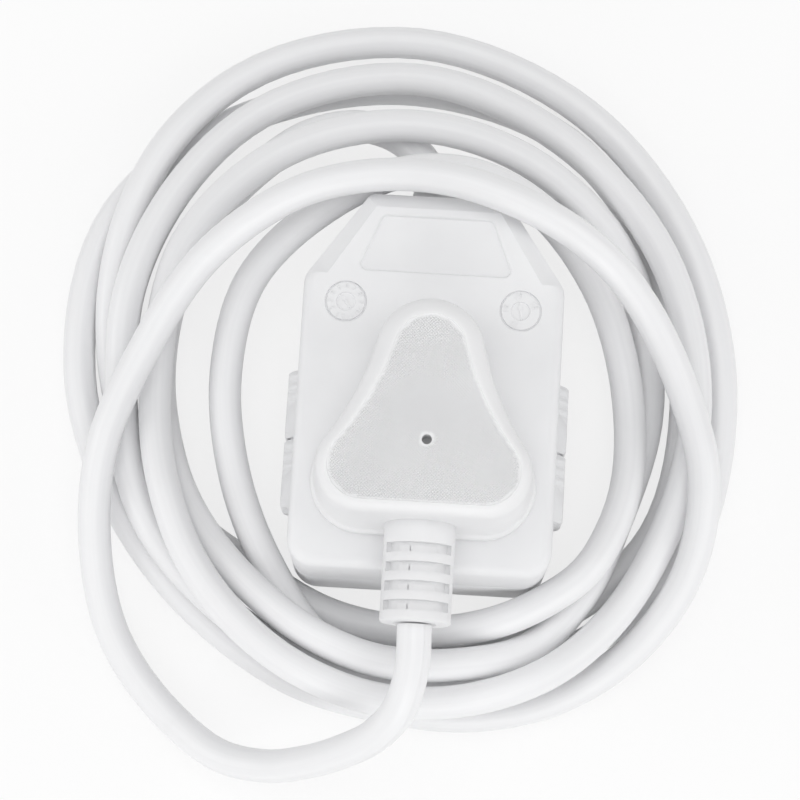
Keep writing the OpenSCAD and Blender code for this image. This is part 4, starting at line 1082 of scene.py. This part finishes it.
def bridging(y0, y1):
    blocks = []
    for span in BLOCK_SPANS:
        block = block_of("block", *span, y0, y1, RELIEF_Z - 9, RELIEF_Z + 9)
        limit = turned("round", [(y1 + 1, BLOCK_R), (y0 - 1, BLOCK_R)])
        blocks.append(combine(block, [limit], "INTERSECT"))
    return blocks


def strain_relief():
    r = RELIEF_R
    boot = turned("plug_relief", [
        (RELIEF_Y, r - 0.5), (RELIEF_Y, r), (-37.0, r), (-38.4, r - 0.06), (-52.7, r - 0.05),
        (-53.8, r), (-54.2, r - 0.1), (-54.42, r - 0.35), (-54.5, r - 0.8), (-54.5, 4.6),
        (-54.15, 4.15), (-54.1, 3.9)])
    slots = [FIRST_SLOT - i * SLOT_PITCH - SLOT_W / 2 for i in range(SLOT_COUNT)]
    boot = combine(boot, [slot_cutter(y, y + SLOT_W) for y in slots])
    boot = combine(boot, sum([bridging(y - 0.2, y + BLOCK_LEN) for y in slots], []), "UNION")
    bevel = boot.modifiers.new("soft edges", "BEVEL")
    bevel.width, bevel.segments, bevel.limit_method = BEVEL_W * MM, 2, "ANGLE"
    bevel.angle_limit, bevel.use_clamp_overlap = math.radians(40), True
    return dressed(baked(boot), relief_finish, 35)


plug_relief = strain_relief()
print("plug relief:", len(plug_relief.data.polygons), "faces")

# %% [markdown]
# ## Finishes of the parts that keep their solids
#
# Contacts, straps, pins, screws, shutters, springs and cores are already the right
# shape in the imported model. They only need their finish.

# %% Give every carried-over node its finish; the first word that fits a name counts
FINISH_OF = {
    "carrier": carrier_finish, "screws": zinc_finish, "spring": zinc_finish,
    "crimps": zinc_finish, "tail": relief_finish, "clamp": carrier_finish,
    "bridge": carrier_finish, "pin": brass_finish, "strap": strip_finish,
    "contact": strip_finish, "shutter": shutter_finish,
}
REPLACED = {
    "front_shell", "back_shell", "coupler_strain_relief", "cord_coupler_lead", "cord_coil",
    "cord_plug_lead", "plug_body", "plug_strain_relief",
}


def finish_for(name):
    if name.endswith("_core"):
        return core_finishes[name.split("_")[1]]
    return next(finish for word, finish in FINISH_OF.items() if word in name)


for name, part in nodes.items():
    if name not in REPLACED:
        part.data.materials.clear()
        part.data.materials.append(finish_for(name))
print("nodes that keep their solids:", len(nodes) - len(REPLACED))

# %% [markdown]
# ## Hand the pieces to the bodies
#
# Each piece moves with one body of the imported model, and the nodes it stands for are
# hidden. The plug's lead moves with no body: it keeps its place in its own vertices.

# %% Rides and replacements
def stands_for(piece, body, slot, *replaced):
    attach(piece, body)
    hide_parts(*replaced)


stands_for(coupler_front, "coupler", "shell_white", "front_shell")
stands_for(coupler_back, "coupler", "shell_white", "back_shell")
stands_for(coupler_boot, "coupler", "relief_white", "coupler_strain_relief")
stands_for(coil_cord, "coupler", "cord_white", "cord_coupler_lead", "cord_coil")
stands_for(plug_shell, "plug", "plug_white", "plug_body")
stands_for(plug_relief, "plug", "relief_white", "plug_strain_relief")
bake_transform(plug_cord)
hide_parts("cord_plug_lead")


# %% [markdown]
# ## Floor and light
#
# The cord lies on a white floor. Wide soft lamps stand overhead, on the near side and
# on each flank, with a pale sky all round as fill. To the camera the floor is partly
# its own white, which keeps it bright but leaves the soft shadow under the coil.

# %% White floor that keeps the shadow
FLOOR_HALF, FLOOR_Z, OWN_WHITE, SKY_FILL = 3000, -0.05, 0.75, 0.56


def floor():
    piece = piece_from("floor", [(x * FLOOR_HALF, y * FLOOR_HALF, FLOOR_Z) for x, y in SQUARE],
                       [(0, 1, 2, 3)])
    material, tree, shader = start_material("floor_white", Roughness=0.9, Specular_IOR_Level=0.0)
    tint(tree, shader, noise(tree, 3, 1), (0.9, 0.9, 0.9), (0.92, 0.92, 0.92))
    white = node(tree, "ShaderNodeEmission")
    path = node(tree, "ShaderNodeLightPath")
    seen, seen_too = (node(tree, "ShaderNodeMath", operation="MAXIMUM") for _ in range(2))
    share = node(tree, "ShaderNodeMath", {1: OWN_WHITE}, operation="MULTIPLY")
    mix = node(tree, "ShaderNodeMixShader")
    wire(tree, (path, "Is Camera Ray", seen, 0), (path, "Is Glossy Ray", seen, 1),
         (seen, "Value", seen_too, 0), (path, "Is Transmission Ray", seen_too, 1),
         (seen_too, "Value", share, 0), (share, "Value", mix, "Fac"), (shader, "BSDF", mix, 1),
         (white, "Emission", mix, 2),
         (mix, "Shader", tree.nodes["Material Output"], "Surface"))
    piece.data.materials.append(material)


floor()

# %% Pale world: fill for the object, plain white for the camera
def pale_world():
    world = bpy.data.worlds.new("pale")
    world.use_nodes = True
    bpy.context.scene.world = world
    tree = world.node_tree
    tree.nodes.clear()
    sky, white = (node(tree, "ShaderNodeBackground", {"Color": (1, 1, 1, 1), "Strength": s})
                  for s in (SKY_FILL, 1.0))
    path, mix = node(tree, "ShaderNodeLightPath"), node(tree, "ShaderNodeMixShader")
    wire(tree, (path, "Is Camera Ray", mix, "Fac"), (sky, "Background", mix, 1),
         (white, "Background", mix, 2),
         (mix, "Shader", node(tree, "ShaderNodeOutputWorld"), "Surface"))


pale_world()

# %% Four soft lamps
def soft_lamp(name, place, size, power):
    data = bpy.data.lights.new(name, "AREA")
    data.shape, data.size, data.energy = "DISK", size, power
    aimed(name, data, place, -Vector(place))


soft_lamp("overhead", (0, 0.1, 1.1), size=0.9, power=2.6)
soft_lamp("near", (0, -0.9, 0.5), size=0.8, power=2.6)
for side in (-1, 1):
    soft_lamp("side", (0.85 * side, -0.05, 0.5), size=0.6, power=1.5)
bpy.context.scene.view_settings.view_transform = "Standard"
